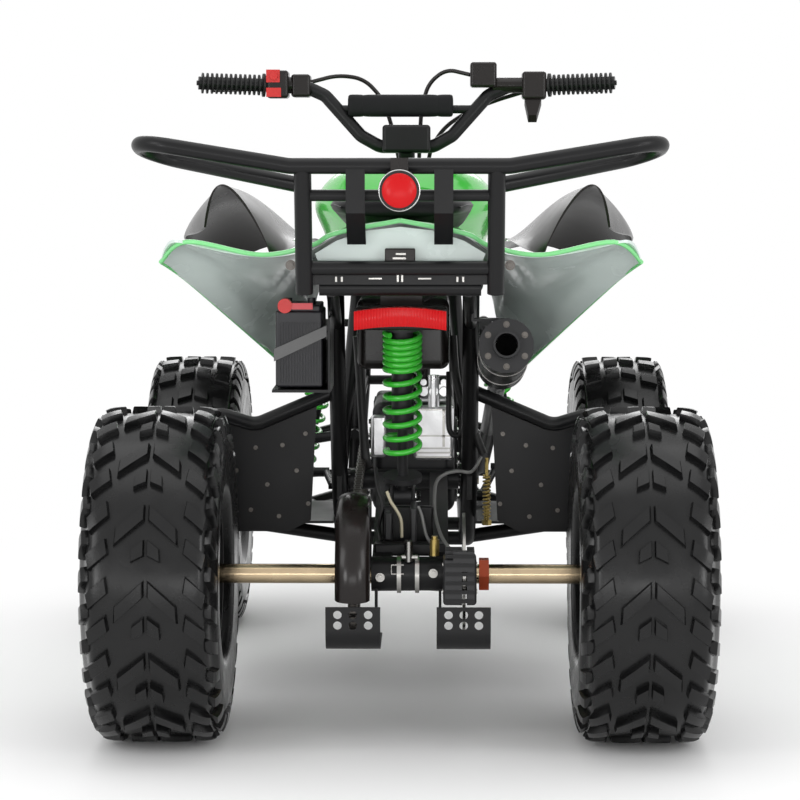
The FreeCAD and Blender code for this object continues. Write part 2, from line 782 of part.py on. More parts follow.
def tyre(width, rim_width, centre):
    """A tyre turned about the axle's line, open towards the rim."""
    bead = 0.5 * rim_width - 1.0
    wall = 13.0
    outer = [
        (bead, BEAD_TOP),
        (0.475 * width, 0.54 * TYRE_RADIUS),
        (0.498 * width, 0.68 * TYRE_RADIUS),
        (0.5 * width, 0.80 * TYRE_RADIUS),
        (0.475 * width, 0.92 * TYRE_RADIUS),
        (0.40 * width, 0.985 * TYRE_RADIUS),
        (0.22 * width, TYRE_RADIUS - 0.6),
        (0.0, TYRE_RADIUS),
    ]
    inner = [
        (0.0, TYRE_RADIUS - 24.0),
        (0.36 * width, 0.87 * TYRE_RADIUS),
        (0.5 * width - wall, 0.72 * TYRE_RADIUS),
        (bead - wall, BEAD_TOP),
    ]
    outer_points = outer + [(-x, r) for x, r in reversed(outer[:-1])]
    inner_points = [(-x, r) for x, r in reversed(inner[1:])] + inner
    curves = []
    for points in (outer_points, inner_points):
        curve = Part.BSplineCurve()
        curve.interpolate([centre + Vector(x, 0, r) for x, r in points])
        curves.append(curve.toShape())
    feet = []
    for side in (-1, 1):
        seat_radius = RIM_RADIUS + 0.3
        foot = [(bead, BEAD_TOP), (bead, seat_radius), (bead - wall, seat_radius), (bead - wall, BEAD_TOP)]
        feet.append(Part.makePolygon([centre + Vector(side * x, 0, r) for x, r in foot]))
    section = Part.Face(Part.Wire([curves[0]] + feet[0].Edges + [curves[1]] + feet[1].Edges))
    return section.revolve(centre, Vector(1, 0, 0), 360)


def rim(rim_width, centre, outward, dish_at, bore, hub_inner, hub_outer, hub_radius):
    """A pressed wheel: barrel with two flanges, a dish with four windows and a hub."""
    half = rim_width / 2.0
    flange = RIM_RADIUS + 8.0

    def line(x):
        return centre + Vector(outward * x, 0, 0)

    barrel = ring(line(-half - 4), line(half + 4), RIM_RADIUS, RIM_RADIUS - 4.0)
    flanges = [
        ring(line(-half - 4), line(-half), flange, RIM_RADIUS - 4.0),
        ring(line(half), line(half + 4), flange, RIM_RADIUS - 4.0),
    ]
    dish = rod(line(dish_at), line(dish_at + 5), RIM_RADIUS - 2.0)
    windows = []
    for index in range(4):
        angle = math.pi / 2 * index + math.pi / 4
        middle = Vector(0, math.cos(angle), math.sin(angle)) * 72.0
        windows.append(rod(line(dish_at - 5) + middle, line(dish_at + 10) + middle, 15.0))
    hub = rod(line(hub_inner), line(hub_outer), hub_radius)
    whole = joined([barrel, dish.cut(Part.makeCompound(windows)), hub] + flanges)
    return whole.cut(rod(line(hub_inner - 5), line(hub_outer - 8), bore))


def rear_tyre(side):
    return tyre(REAR_TYRE_WIDTH, REAR_RIM_WIDTH, at(side * REAR_TRACK / 2, 0, AXLE_Z))


def front_tyre(side):
    return tyre(FRONT_TYRE_WIDTH, FRONT_RIM_WIDTH, at(side * FRONT_TRACK / 2, FRONT, AXLE_Z))


def rear_rims():
    rims = []
    for side in (-1, 1):
        centre = at(side * REAR_TRACK / 2, 0, AXLE_Z)
        rims.append(rim(REAR_RIM_WIDTH, centre, side, -3.8, AXLE_RADIUS, -3.8, 40.0, 34.0))
    return side_by_side(rims)


def front_rim(side):
    centre = at(side * FRONT_TRACK / 2, FRONT, AXLE_Z)
    return rim(FRONT_RIM_WIDTH, centre, side, 6.0, 10.0 + RUNNING_GAP, -62.0, 26.0, 34.0)


# Steering


def steering_stem():
    top = stem_point(852)
    bottom = stem_point(286)
    spigot_end = stem_point(252)
    pitman = stem_point(300) + STEM_BACK * STEERING_ARM
    half = Vector(PITMAN_PIN_X, 0, 0)
    arm = [
        stem_point(300) + Vector(-17, 0, 0),
        stem_point(300) + Vector(17, 0, 0),
        pitman + half + STEM_BACK * 11 + Vector(7, 0, 0),
        pitman - half + STEM_BACK * 11 - Vector(7, 0, 0),
    ]
    clamp = soft_block(at(-40, 624, 848), at(40, 676, 894), 6.0)
    return joined([
        rod(bottom, top, 14.0),
        rod(spigot_end, bottom, 10.0),
        plate(arm, STEM_UP * 5),
        clamp,
    ])


BAR_RADIUS = 11.0
HALF_BAR = [(0, 650, 858), (44, 650, 858), (76, 652, 876), (136, 660, 943), (170, 660, 958), (345, 628, 963)]


def handlebar():
    right = [at(*point) for point in HALF_BAR[1:]]
    left = [Vector(-p.x, p.y, p.z) for p in reversed(right)]
    bar = tube(left + right, BAR_RADIUS, 26.0)
    crossbar = rod(at(-112, 657, 920), at(112, 657, 920), 7.0)
    return joined([bar, crossbar])


def handlebar_pad():
    pad = soft_block(at(-99, 636, 907), at(79, 674, 945), 9.0)
    return pad.cut(rod(at(-120, 657, 920), at(120, 657, 920), 7.05))


def grips():
    pieces = []
    for side in (-1, 1):
        start = at(side * 236, 648.6, 959.8)
        end = at(side * (HANDLEBAR_HALF_WIDTH + 3), 627.5, 963.1)
        pieces.append(rod(start, end, 4))
    return side_by_side(pieces)


def left_controls():
    switch = soft_block(at(-232, 628, 938), at(-196, 676, 984), 5.0)
    perch = soft_block(at(-192, 640, 940), at(-160, 690, 978), 5.0)
    lever = tube([at(-176, 688, 960), at(-205, 712, 958), at(-330, 690, 954)], 5.0, 20.0)
    return joined([switch, perch, lever, rod(at(-200, 655, 960), at(-186, 655, 960), 14.0)])


def right_controls():
    reservoir = soft_block(at(106, 640, 956), at(150, 686, 998), 5.0)
    throttle = soft_block(at(192, 628, 936), at(232, 678, 982), 5.0)
    lever = tube([at(140, 684, 963), at(190, 712, 958), at(330, 692, 954)], 5.0, 20.0)
    thumb_outline = [at(196, 634, 938), at(224, 634, 938), at(216, 628, 910), at(202, 628, 910)]
    thumb = plate(thumb_outline, Vector(0, 6, -12))
    link = rod(at(145, 660, 960), at(195, 655, 960), 13.0)
    return joined([reservoir, throttle, lever, thumb, link])


CABLE_RADIUS = 3.5
CABLES = {
    "left brake": [
        (-160, 676, 966), (-116, 690, 978), (-72, 694, 972),
        (-40, 700, 938), (-24, 706, 888), (-14, 716, 838),
    ],
    "right brake": [
        (106, 676, 978), (66, 692, 988), (36, 700, 964),
        (24, 704, 918), (22, 710, 872), (20, 720, 826),
    ],
    "throttle": [
        (192, 668, 948), (150, 700, 936), (104, 708, 918),
        (64, 710, 892), (40, 714, 856), (34, 724, 818),
    ],
}


def control_cables():
    cables = []
    for name, route in CABLES.items():
        points = [at(*point) for point in route]
        radii = rounded_route(points)[1]
        print(name, "cable bends, mm:", [round(radius) for radius in radii])
        cables.append(tube(points, CABLE_RADIUS))
    return side_by_side(cables)


# Lights


def tail_light():
    housing = soft_block(at(-66, -22, 594), at(66, 14, 628), 6.0)
    bracket = block(at(-30, 5, 622), at(30, 9, 650))
    return joined([housing, bracket])


def rear_reflector():
    lens = rod(at(0, -206, 794), at(0, -186, 794), 27.0)
    tab = block(at(-12, -189, 812), at(12, -185, 838))
    return joined([lens, tab])


def build_all():
    parts = {
        "main_frame": main_frame(),
        "front_bumper": front_bumper(),
        "rear_rack": rear_rack(),
        "foot_controls": foot_controls(),
        "rear_fender": rear_fender(),
        "tank_cover": tank_cover(),
        "front_cowl": front_cowl(),
        "seat": seat(),
        "engine": engine(),
        "intake": intake(),
        "exhaust_pipe": exhaust_pipe(),
        "silencer": silencer(),
        "chain": chain(),
        "battery": battery(),
        "battery_tray": battery_tray(),
        "swingarm": swingarm(),
        "rear_axle": rear_axle(),
        "axle_locknut": axle_locknut(),
        "rear_sprocket": rear_sprocket(),
        "brake_disc": brake_disc(),
        "rear_caliper": rear_caliper(),
        "sprocket_cover": sprocket_cover(),
        "axle_skids": axle_skids(),
        "rear_shock": rear_shock(),
        "rear_spring": rear_spring(),
        "front_arms": front_arms(),
        "front_shocks": front_shocks(),
        "front_springs": front_springs(),
        "rear_rims": rear_rims(),
        "steering_stem": steering_stem(),
        "handlebar": handlebar(),
        "handlebar_pad": handlebar_pad(),
        "grips": grips(),
        "left_controls": left_controls(),
        "right_controls": right_controls(),
        "control_cables": control_cables(),
        "tail_light": tail_light(),
        "rear_reflector": rear_reflector(),
    }
    for name in ("grips", "left_controls", "right_controls", "steering_stem"):
        parts[name] = parts[name].cut(parts["handlebar"])
    parts["seat"] = parts["seat"].cut(parts["rear_fender"])
    lamps = headlights()
    parts["headlights"] = side_by_side(lamps)
    parts["front_cowl"] = parts["front_cowl"].cut(Part.makeCompound(lamps))
    for name, side in SIDES.items():
        parts["footrest_" + name] = footrest(side)
        parts["front_fender_" + name] = front_fender(side)
        parts["knuckle_" + name] = knuckle(side)
        parts["tie_rod_" + name] = tie_rod(side)
        parts["rear_tyre_" + name] = rear_tyre(side)
        parts["front_tyre_" + name] = front_tyre(side)
        parts["front_rim_" + name] = front_rim(side)
    return parts


def main():
    os.makedirs("parts", exist_ok=True)
    for name, shape in build_all().items():
        if not shape.isValid() or shape.Volume <= 0:
            print("check", name, shape.isValid(), shape.Volume)
        shape.exportStep("parts/" + name + ".step")


main()
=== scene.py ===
import math

import bmesh
import bpy
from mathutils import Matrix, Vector


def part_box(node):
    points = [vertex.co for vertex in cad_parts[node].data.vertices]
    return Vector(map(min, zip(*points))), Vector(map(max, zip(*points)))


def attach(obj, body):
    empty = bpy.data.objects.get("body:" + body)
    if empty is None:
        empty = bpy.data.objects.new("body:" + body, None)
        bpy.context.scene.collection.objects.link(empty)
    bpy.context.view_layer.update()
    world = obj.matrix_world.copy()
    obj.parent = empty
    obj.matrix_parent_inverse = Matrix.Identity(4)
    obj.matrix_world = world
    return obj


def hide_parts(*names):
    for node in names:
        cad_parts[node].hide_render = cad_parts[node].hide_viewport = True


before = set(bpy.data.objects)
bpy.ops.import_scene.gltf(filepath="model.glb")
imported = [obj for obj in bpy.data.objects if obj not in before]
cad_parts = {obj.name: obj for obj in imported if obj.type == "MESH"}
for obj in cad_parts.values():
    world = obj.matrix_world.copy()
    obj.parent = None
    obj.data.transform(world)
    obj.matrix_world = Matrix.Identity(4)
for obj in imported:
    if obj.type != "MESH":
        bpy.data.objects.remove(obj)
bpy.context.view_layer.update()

# Driving dimensions of the CAD model, in metres
WHEELBASE = 0.970
TYRE_RADIUS = 0.2413
FRONT_OVERHANG = 0.260
REAR_AXLE_Y = -(WHEELBASE + FRONT_OVERHANG - TYRE_RADIUS) / 2
RIM_RADIUS = 0.1016
BEAD_TOP = 0.113
REAR_TYRE_X = 0.344
FRONT_TYRE_X = 0.376
SIDES = {"left": -1, "right": 1}


def at(x, y, z):
    """A point measured right, forward and up from the ground under the rear axle's middle."""
    return Vector((x, REAR_AXLE_Y + y, z))


# Materials


def add_node(tree, kind, **values):
    """A new node with some of its inputs set; an underscore stands for a space in an input's name."""
    made = tree.nodes.new(kind)
    for name, value in values.items():
        made.inputs[name.replace("_", " ")].default_value = value
    return made


def scaled_color(color, share):
    return [min(1.0, channel * share) for channel in color] + [1]


def color_mix(tree, **values):
    made = tree.nodes.new("ShaderNodeMix")
    made.data_type = "RGBA"
    for name, value in values.items():
        made.inputs[name].default_value = value
    return made


def finish(name, color, roughness, metallic=0.0, mottle=0.14, mottle_scale=9.0, spread=0.08,
           grain=0.12, grain_scale=650.0, coat=0.0, coat_roughness=0.06, specular=0.5):
    """A surface with cloudy colour and roughness and a fine grain."""
    material = bpy.data.materials.new(name)
    material.use_nodes = True
    tree = material.node_tree
    links = tree.links
    surface = tree.nodes["Principled BSDF"]
    place = add_node(tree, "ShaderNodeTexCoord")
    cloud = add_node(tree, "ShaderNodeTexNoise", Scale=mottle_scale, Detail=6.0)
    tint = color_mix(tree, A=scaled_color(color, 1 - mottle), B=scaled_color(color, 1 + mottle))
    rough = add_node(tree, "ShaderNodeMapRange", From_Min=0.3, From_Max=0.7,
                     To_Min=max(0.02, roughness - spread), To_Max=min(1.0, roughness + spread))
    fine = add_node(tree, "ShaderNodeTexNoise", Scale=grain_scale, Detail=3.0)
    relief = add_node(tree, "ShaderNodeBump", Strength=grain, Distance=0.0006)
    links.new(place.outputs["Object"], cloud.inputs["Vector"])
    links.new(place.outputs["Object"], fine.inputs["Vector"])
    links.new(cloud.outputs["Fac"], tint.inputs["Factor"])
    links.new(tint.outputs["Result"], surface.inputs["Base Color"])
    links.new(cloud.outputs["Fac"], rough.inputs["Value"])
    links.new(rough.outputs["Result"], surface.inputs["Roughness"])
    links.new(fine.outputs["Fac"], relief.inputs["Height"])
    links.new(relief.outputs["Normal"], surface.inputs["Normal"])
    surface.inputs["Metallic"].default_value = metallic
    surface.inputs["Coat Weight"].default_value = coat
    surface.inputs["Coat Roughness"].default_value = coat_roughness
    surface.inputs["Specular IOR Level"].default_value = specular
    return material


def painted_underside_light(material, painted_underside_color):
    """The same plastic, with a paler face wherever the panel doesn't look up; the pale face is painted light,
    standing for the light that reaches the undersides from behind and below.
    """
    tree = material.node_tree
    links = tree.links
    surface = tree.nodes["Principled BSDF"]
    top = surface.inputs["Base Color"].links[0].from_socket
    facing = add_node(tree, "ShaderNodeNewGeometry")
    split = add_node(tree, "ShaderNodeSeparateXYZ")
    under = add_node(tree, "ShaderNodeMapRange", From_Min=0.46, From_Max=0.30)
    haze = add_node(tree, "ShaderNodeTexNoise", Scale=3.5, Detail=5.0)
    # the pale painted-light colour of the downward faces, clouded at random by the noise
    pale = color_mix(tree, A=scaled_color(painted_underside_color, 1.0), B=scaled_color(painted_underside_color, 0.70))
    both = color_mix(tree)
    links.new(facing.outputs["Normal"], split.inputs["Vector"])
    links.new(split.outputs["Z"], under.inputs["Value"])
    links.new(haze.outputs["Fac"], pale.inputs["Factor"])
    links.new(under.outputs["Result"], both.inputs["Factor"])
    links.new(top, both.inputs["A"])
    links.new(pale.outputs["Result"], both.inputs["B"])
    links.new(both.outputs["Result"], surface.inputs["Base Color"])
    return material


def make_materials():
    black = (0.007, 0.007, 0.0075)
    green = (0.045, 0.47, 0.045)
    return {
        "powder": finish("powder_black", black, 0.36, spread=0.06, grain=0.10, coat=0.06, coat_roughness=0.2,
                         specular=0.22),
        # the rear fender's downward and backward faces get a pale green that is painted light from behind and
        # below
        "green": painted_underside_light(finish("green_plastic", green, 0.24, coat=0.4, grain=0.03), (0.70, 0.80, 0.76)),
        "green_top": finish("green_panel", green, 0.22, coat=0.5, grain=0.03),
        # a brighter green for the fender's rolled edge: a painted highlight along the rim
        "green_rim_highlight": finish("green_edge_painted_highlight", (0.20, 0.66, 0.24), 0.28, coat=0.4, grain=0.03),
        "dark_plastic": finish("dark_plastic", (0.010, 0.0075, 0.0068), 0.30, coat=0.12, coat_roughness=0.12,
                               grain=0.05, specular=0.25),
        "rubber": finish("tyre_rubber", (0.006, 0.006, 0.0062), 0.25, mottle=0.35, mottle_scale=22,
                         spread=0.08, grain=0.2, grain_scale=420, specular=0.32),
        "grip": finish("grip_rubber", (0.012, 0.012, 0.012), 0.50, grain=0.3, specular=0.3),
        "vinyl": finish("seat_vinyl", (0.008, 0.008, 0.009), 0.45, grain=0.45, grain_scale=380, specular=0.2),
        "alloy": finish("cast_alloy", (0.80, 0.80, 0.81), 0.30, metallic=0.85, mottle=0.16, mottle_scale=18,
                        spread=0.12, grain=0.30, grain_scale=260),
        # dark cast finish for the caliper, shocks and clevises, also laid on the whole engine as painted
        # shade
        "dark_cast_and_engine_shade": finish("dark_cast_and_engine_shade", (0.016, 0.016, 0.017), 0.42, mottle=0.3, grain=0.35, grain_scale=260,
                            specular=0.35),
        "heat_black": finish("heat_black", (0.010, 0.010, 0.011), 0.34, mottle=0.3, grain=0.2, specular=0.4),
        # near-black soot, which also serves as painted shade for the depth inside the silencer's outlet
        "soot_and_painted_shade": finish("soot_and_painted_shade", (0.003, 0.003, 0.003), 0.95, grain=0.3, specular=0.05),
        "steel": finish("plain_steel", (0.42, 0.41, 0.39), 0.28, metallic=1.0, mottle=0.2, spread=0.12),
        "chrome": finish("bright_steel", (0.62, 0.62, 0.61), 0.18, metallic=1.0, spread=0.05),
        "oily": finish("oily_steel", (0.13, 0.12, 0.11), 0.36, metallic=0.9, mottle=0.3, grain=0.2),
        "gold": finish("gold_zinc", (0.55, 0.43, 0.28), 0.20, metallic=1.0, mottle=0.28, mottle_scale=30),
        "brass": finish("brass", (0.36, 0.27, 0.09), 0.32, metallic=0.9, mottle=0.3, mottle_scale=60),
        "rust": finish("rusty_orange", (0.40, 0.055, 0.012), 0.45, metallic=0.3, mottle=0.4, mottle_scale=60),
        "spring": finish("spring_green", (0.045, 0.50, 0.035), 0.26, coat=0.4, grain=0.05),
        "red": finish("red_lens", (0.50, 0.005, 0.007), 0.30, coat=0.08, coat_roughness=0.15, mottle=0.12,
                      grain=0.02, specular=0.15),
        "red_plastic": finish("red_plastic", (0.55, 0.010, 0.008), 0.35),
        "pink": finish("pink_plastic", (0.60, 0.07, 0.08), 0.45),
        "lamp": finish("lamp_lens", (0.72, 0.75, 0.78), 0.10, coat=0.8, mottle=0.05, grain=0.02),
        "battery": finish("battery_case", (0.014, 0.014, 0.017), 0.38, grain=0.25, specular=0.4),
        "strap": finish("rubber_strap", (0.11, 0.11, 0.11), 0.6, grain=0.3),
        "hose": finish("hose_rubber", (0.009, 0.009, 0.009), 0.45, grain=0.2, specular=0.35),
        "grey_hose": finish("grey_hose", (0.16, 0.16, 0.155), 0.42, grain=0.2),
        "cream": finish("cream_wire", (0.50, 0.45, 0.32), 0.45, grain=0.1),
        "cloth": finish("pad_cloth", (0.008, 0.008, 0.009), 0.62, grain=0.5, grain_scale=900, specular=0.18),
    }


MATERIALS = make_materials()
NODE_FINISH = {
    "powder": [
        "main_frame", "front_bumper", "rear_rack", "foot_controls", "battery_tray", "swingarm", "axle_skids",
        "front_arms", "footrest_left", "footrest_right", "steering_stem", "handlebar", "tie_rod_left",
        "tie_rod_right", "knuckle_left", "knuckle_right", "front_rim_left", "front_rim_right", "rear_rims",
    ],
    "green": ["rear_fender"],
    "green_top": ["tank_cover", "front_cowl"],
    "dark_plastic": [
        "front_fender_left", "front_fender_right", "sprocket_cover", "left_controls", "right_controls",
        "control_cables", "rear_reflector", "tail_light", "intake",
    ],
    "rubber": ["rear_tyre_left", "rear_tyre_right", "front_tyre_left", "front_tyre_right"],
    "grip": ["grips"],
    "vinyl": ["seat"],
    "cloth": ["handlebar_pad"],
    "heat_black": ["exhaust_pipe", "silencer"],
    # the engine casing takes this dark finish as painted shade of the bay under the seat, with alloy pieces
    # laid on its back in engine_back
    "dark_cast_and_engine_shade": ["engine", "rear_caliper", "rear_shock", "front_shocks"],
    "oily": ["chain", "rear_sprocket"],
    "steel": ["brake_disc"],
    "gold": ["rear_axle"],
    "rust": ["axle_locknut"],
    "spring": ["rear_spring", "front_springs"],
    "lamp": ["headlights"],
    "battery": ["battery"],
}


def dress_nodes():
    for finish_name, names in NODE_FINISH.items():
        for name in names:
            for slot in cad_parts[name].material_slots:
                slot.material = MATERIALS[finish_name]


# Mesh helpers


def from_bmesh(name, build, material, smooth=True, angle=35.0):
    data = bpy.data.meshes.new(name)
    build.normal_update()
    build.to_mesh(data)
    build.free()
    piece = bpy.data.objects.new(name, data)
    bpy.context.collection.objects.link(piece)
    data.materials.append(MATERIALS[material])
    for polygon in data.polygons:
        polygon.use_smooth = smooth
    if smooth:
        data.set_sharp_from_angle(angle=math.radians(angle))
    return piece


def ring_points(centre, across, other, radius, count):
    """Points evenly round a circle that lies along two crossing directions."""
    points = []
    for index in range(count):
        angle = 2 * math.pi * index / count
        points.append(centre + (across * math.cos(angle) + other * math.sin(angle)) * radius)
    return points


def stitch(build, rings):
    """Faces between each ring of vertices and the next."""
    count = len(rings[0])
    for one, two in zip(rings, rings[1:]):
        for k in range(count):
            after = (k + 1) % count
            build.faces.new([one[k], one[after], two[after], two[k]])


def close_loft(build, rings):
    """A closed skin over rings of vertices, with its faces turned outward."""
    stitch(build, rings)
    build.faces.new(rings[0])
    build.faces.new(list(reversed(rings[-1])))
    bmesh.ops.recalc_face_normals(build, faces=build.faces)


def add_cylinder(build, start, end, radius, sides=24, end_radius=None):
    """A closed round bar added to a mesh being built."""
    axis = (end - start).normalized()
    across = axis.orthogonal().normalized()
    other = axis.cross(across)
    rings = []
    for centre, size in ((start, radius), (end, radius if end_radius is None else end_radius)):
        rings.append([build.verts.new(p) for p in ring_points(centre, across, other, size, sides)])
    stitch(build, rings)
    build.faces.new(list(reversed(rings[0])))
    build.faces.new(rings[1])


def add_box(build, low, high):
    corners = []
    for x in (low.x, high.x):
        for y in (low.y, high.y):
            corners += [build.verts.new((x, y, low.z)), build.verts.new((x, y, high.z))]
    for face in ((0, 1, 3, 2), (4, 6, 7, 5), (0, 4, 5, 1), (2, 3, 7, 6), (0, 2, 6, 4), (1, 5, 7, 3)):
        build.faces.new([corners[i] for i in face])


def add_bolt(build, place, outward, head=0.0055, height=0.005):
    """A hexagon bolt head on its washer."""
    outward = outward.normalized()
    add_cylinder(build, place, place + outward * 0.0012, head * 1.45, 20)
    add_cylinder(build, place + outward * 0.001, place + outward * height, head, 6, head * 0.94)


def swept(name, points, radius, material, sides=12):
    """A round section carried along a line of points, as one closed mesh."""
    build = bmesh.new()
    rings = []
    count = len(points)
    normal = (points[1] - points[0]).orthogonal().normalized()
    for index, point in enumerate(points):
        ahead = points[min(index + 1, count - 1)] - points[max(index - 1, 0)]
        tangent = ahead.normalized()
        normal = (normal - tangent * normal.dot(tangent)).normalized()
        side = tangent.cross(normal)
        rings.append([build.verts.new(p) for p in ring_points(point, normal, side, radius, sides)])
    stitch(build, rings)
    build.faces.new(list(reversed(rings[0])))
    build.faces.new(rings[-1])
    return from_bmesh(name, build, material, angle=60)


def placed(piece, body="root", replaces=()):
    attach(piece, body)
    if replaces:
        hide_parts(*replaces)
    return piece


# Tyres


def catmull(points, steps):
    """A smooth line through points, divided evenly between them."""
    line = []
    padded = [points[0]] + points + [points[-1]]
    for a, b, c, d in zip(padded, padded[1:], padded[2:], padded[3:]):
        for step in range(steps):
            t = step / steps
            place = []
            for p, q, r, s in zip(a, b, c, d):
                bend = (2 * p - 5 * q + 4 * r - s) * t * t + (3 * q - p - 3 * r + s) * t ** 3
                place.append(0.5 * (2 * q + (r - p) * t + bend))
            line.append(tuple(place))
    line.append(points[-1])
    return line


class Carcass:
    """A tyre's outline from crown to bead, and points on it at a distance from the crown."""

    def __init__(self, centre, width, rim_width):
        radius = TYRE_RADIUS
        half = [
            (0.0, radius),
            (0.22 * width, radius - 0.0006),
            (0.40 * width, 0.985 * radius),
            (0.475 * width, 0.92 * radius),
            (0.5 * width, 0.80 * radius),
            (0.498 * width, 0.68 * radius),
            (0.475 * width, 0.54 * radius),
            (0.5 * rim_width - 0.001, BEAD_TOP),
            (0.5 * rim_width - 0.001, RIM_RADIUS + 0.001),
        ]
        self.centre = centre
        self.line = catmull(half, 8)
        self.reach = [0.0]
        for before, after in zip(self.line, self.line[1:]):
            self.reach.append(self.reach[-1] + math.dist(before, after))

    def locate(self, distance):
        """Sideways offset, radius and outward normal at a signed distance from the crown."""
        side = -1 if distance < 0 else 1
        wanted = min(abs(distance), self.reach[-1] - 1e-6)
        index = max(i for i, r in enumerate(self.reach[:-1]) if r <= wanted)
        share = (wanted - self.reach[index]) / (self.reach[index + 1] - self.reach[index])
        a, b = self.line[index], self.line[index + 1]
        x = a[0] + (b[0] - a[0]) * share
        r = a[1] + (b[1] - a[1]) * share
        length = math.dist(a, b)
        return side * x, r, side * (a[1] - b[1]) / length, (b[0] - a[0]) / length

    def point(self, distance, angle, height):
        x, r, nx, nr = self.locate(distance)
        x += nx * height
        r += nr * height
        return self.centre + Vector((x, -r * math.cos(angle), r * math.sin(angle)))


LUG_TOP_SHARE = 0.90
LUG_SHOULDER_SHARE = 0.96
LUG_FOOT_SHARE = 1.06
LUG_EDGE = 0.0012
LUG_ROOT = 0.002


def add_lug(build, carcass, corners, start, depth, mirror):
    """One tread block that follows the carcass; corners are (distance from crown, distance round)."""
    columns, rows = 4, 3
    quad = [(mirror * a, t) for a, t in corners]
    middle = (sum(a for a, t in quad) / 4, sum(t for a, t in quad) / 4)

    def spot(u, v, shrink, height):
        low = [quad[0][i] + (quad[3][i] - quad[0][i]) * u for i in (0, 1)]
        high = [quad[1][i] + (quad[2][i] - quad[1][i]) * u for i in (0, 1)]
        a, t = (low[i] + (high[i] - low[i]) * v for i in (0, 1))
        a = middle[0] + (a - middle[0]) * shrink
        t = middle[1] + (t - middle[1]) * shrink
        return build.verts.new(carcass.point(a, start + t / TYRE_RADIUS, height))

    def layer(shrink, height):
        grid = []
        for i in range(columns + 1):
            grid.append([spot(i / columns, j / rows, shrink, height) for j in range(rows + 1)])
        return grid

    top = layer(LUG_TOP_SHARE, 0.0)
    shoulder = layer(LUG_SHOULDER_SHARE, -LUG_EDGE)
    foot = layer(LUG_FOOT_SHARE, -depth - LUG_ROOT)
    around = [(i, 0) for i in range(columns)] + [(columns, j) for j in range(rows)]
    around += [(i, rows) for i in range(columns, 0, -1)] + [(0, j) for j in range(rows, 0, -1)]
    for i in range(columns):
        for j in range(rows):
            build.faces.new([top[i][j], top[i + 1][j], top[i + 1][j + 1], top[i][j + 1]])
    for upper, lower in ((top, shoulder), (shoulder, foot)):
        for (i, j), (k, m) in zip(around, around[1:] + around[:1]):
            build.faces.new([upper[i][j], lower[i][j], lower[k][m], upper[k][m]])
    loose = [v for grid in (shoulder, foot) for line in grid for v in line if not v.link_faces]
    for vert in loose:
        build.verts.remove(vert)
    build.faces.new([foot[i][j] for i, j in around])


REAR_LUGS = [
    [(0.025, 0.004), (0.025, 0.027), (0.36, -0.009), (0.37, -0.033)],
    [(0.020, -0.047), (0.020, -0.024), (0.16, -0.037), (0.17, -0.056)],
    [(0.43, 0.010), (0.46, 0.033), (0.71, 0.008), (0.67, -0.014)],
    [(0.43, -0.044), (0.46, -0.022), (0.71, -0.045), (0.67, -0.067)],
    [(0.77, 0.026), (0.79, 0.047), (1.03, 0.029), (1.01, 0.005)],
    [(0.77, -0.028), (0.79, -0.007), (1.03, -0.025), (1.01, -0.049)],
]
FRONT_LUGS = [
    [(0.02, 0.004), (0.02, 0.026), (0.26, 0.016), (0.26, -0.006)],
    [(0.34, -0.022), (0.34, 0.002), (0.62, -0.008), (0.62, -0.032)],
    [(0.70, 0.006), (0.70, 0.030), (1.02, 0.024), (1.02, 0.000)],
    [(0.72, -0.026), (0.72, -0.006), (0.98, -0.012), (0.98, -0.032)],
]


TYRE_SEGMENTS = 120
HALF_STATIONS = 34
SIDEWALL_RIDGE = 0.0012


def tyre(name, centre, width, rim_width, lugs, pitches, depth, tread_half, body):
    """A closed carcass with two sidewall ridges, and its tread blocks round it."""
    carcass = Carcass(centre, width, rim_width)
    build = bmesh.new()
    total = carcass.reach[-1]
    rings = []
    for station in range(2 * HALF_STATIONS + 1):
        distance = total * (station / HALF_STATIONS - 1)
        share = abs(distance) / total
        fade = min(1.0, max(0.0, (tread_half * 1.12 - abs(distance)) / (0.14 * tread_half)))
        ridged = 0.62 < share < 0.65 or 0.80 < share < 0.83
        height = -depth * fade - SIDEWALL_RIDGE + (SIDEWALL_RIDGE if ridged else 0.0)
        rings.append([build.verts.new(carcass.point(distance, 2 * math.pi * k / TYRE_SEGMENTS, height))
                      for k in range(TYRE_SEGMENTS)])
    stitch(build, rings + rings[:1])
    for index in range(pitches):
        start = 2 * math.pi * index / pitches
        for lug in lugs:
            for mirror in (-1, 1):
                scaled = [(a * tread_half, t) for a, t in lug]
                add_lug(build, carcass, scaled, start, depth, mirror)
    bmesh.ops.recalc_face_normals(build, faces=build.faces)
    shell = from_bmesh(name + "_shell", build, "rubber", angle=32)
    placed(shell, body, [name])


def all_tyres():
    for name, side in SIDES.items():
        tyre("rear_tyre_" + name, at(side * REAR_TYRE_X, 0, TYRE_RADIUS), 0.192, rim_width=0.150,
             lugs=REAR_LUGS, pitches=14, depth=0.0085, tread_half=0.118, body="rear_axle")
        tyre("front_tyre_" + name, at(side * FRONT_TYRE_X, WHEELBASE, TYRE_RADIUS), 0.165, rim_width=0.128,
             lugs=FRONT_LUGS, pitches=22, depth=0.0080, tread_half=0.102, body="front_wheel_" + name)


# Springs


def coil(top, bottom, radius, wire, tight_turns, open_turns):
    """A coil spring's centre line, close wound at its top."""
    axis = (bottom - top).normalized()
    across = axis.orthogonal().normalized()
    other = axis.cross(across)
    length = (bottom - top).length
    tight = tight_turns * wire * 2.06
    turns = tight_turns + open_turns
    steps = int(turns * 28)
    line = []
    for step in range(steps + 1):
        turn = turns * step / steps
        if turn <= tight_turns:
            depth = tight * turn / tight_turns
        else:
            depth = tight + (length - tight) * (turn - tight_turns) / open_turns
        angle = 2 * math.pi * turn
        line.append(top + axis * depth + (across * math.cos(angle) + other * math.sin(angle)) * radius)
    return line


SHOCK_TOP = at(0, 0.100, 0.615)
SHOCK_BOTTOM = at(0, 0.160, 0.333)
REAR_WIRE = 0.0043
FRONT_WIRE = 0.0038


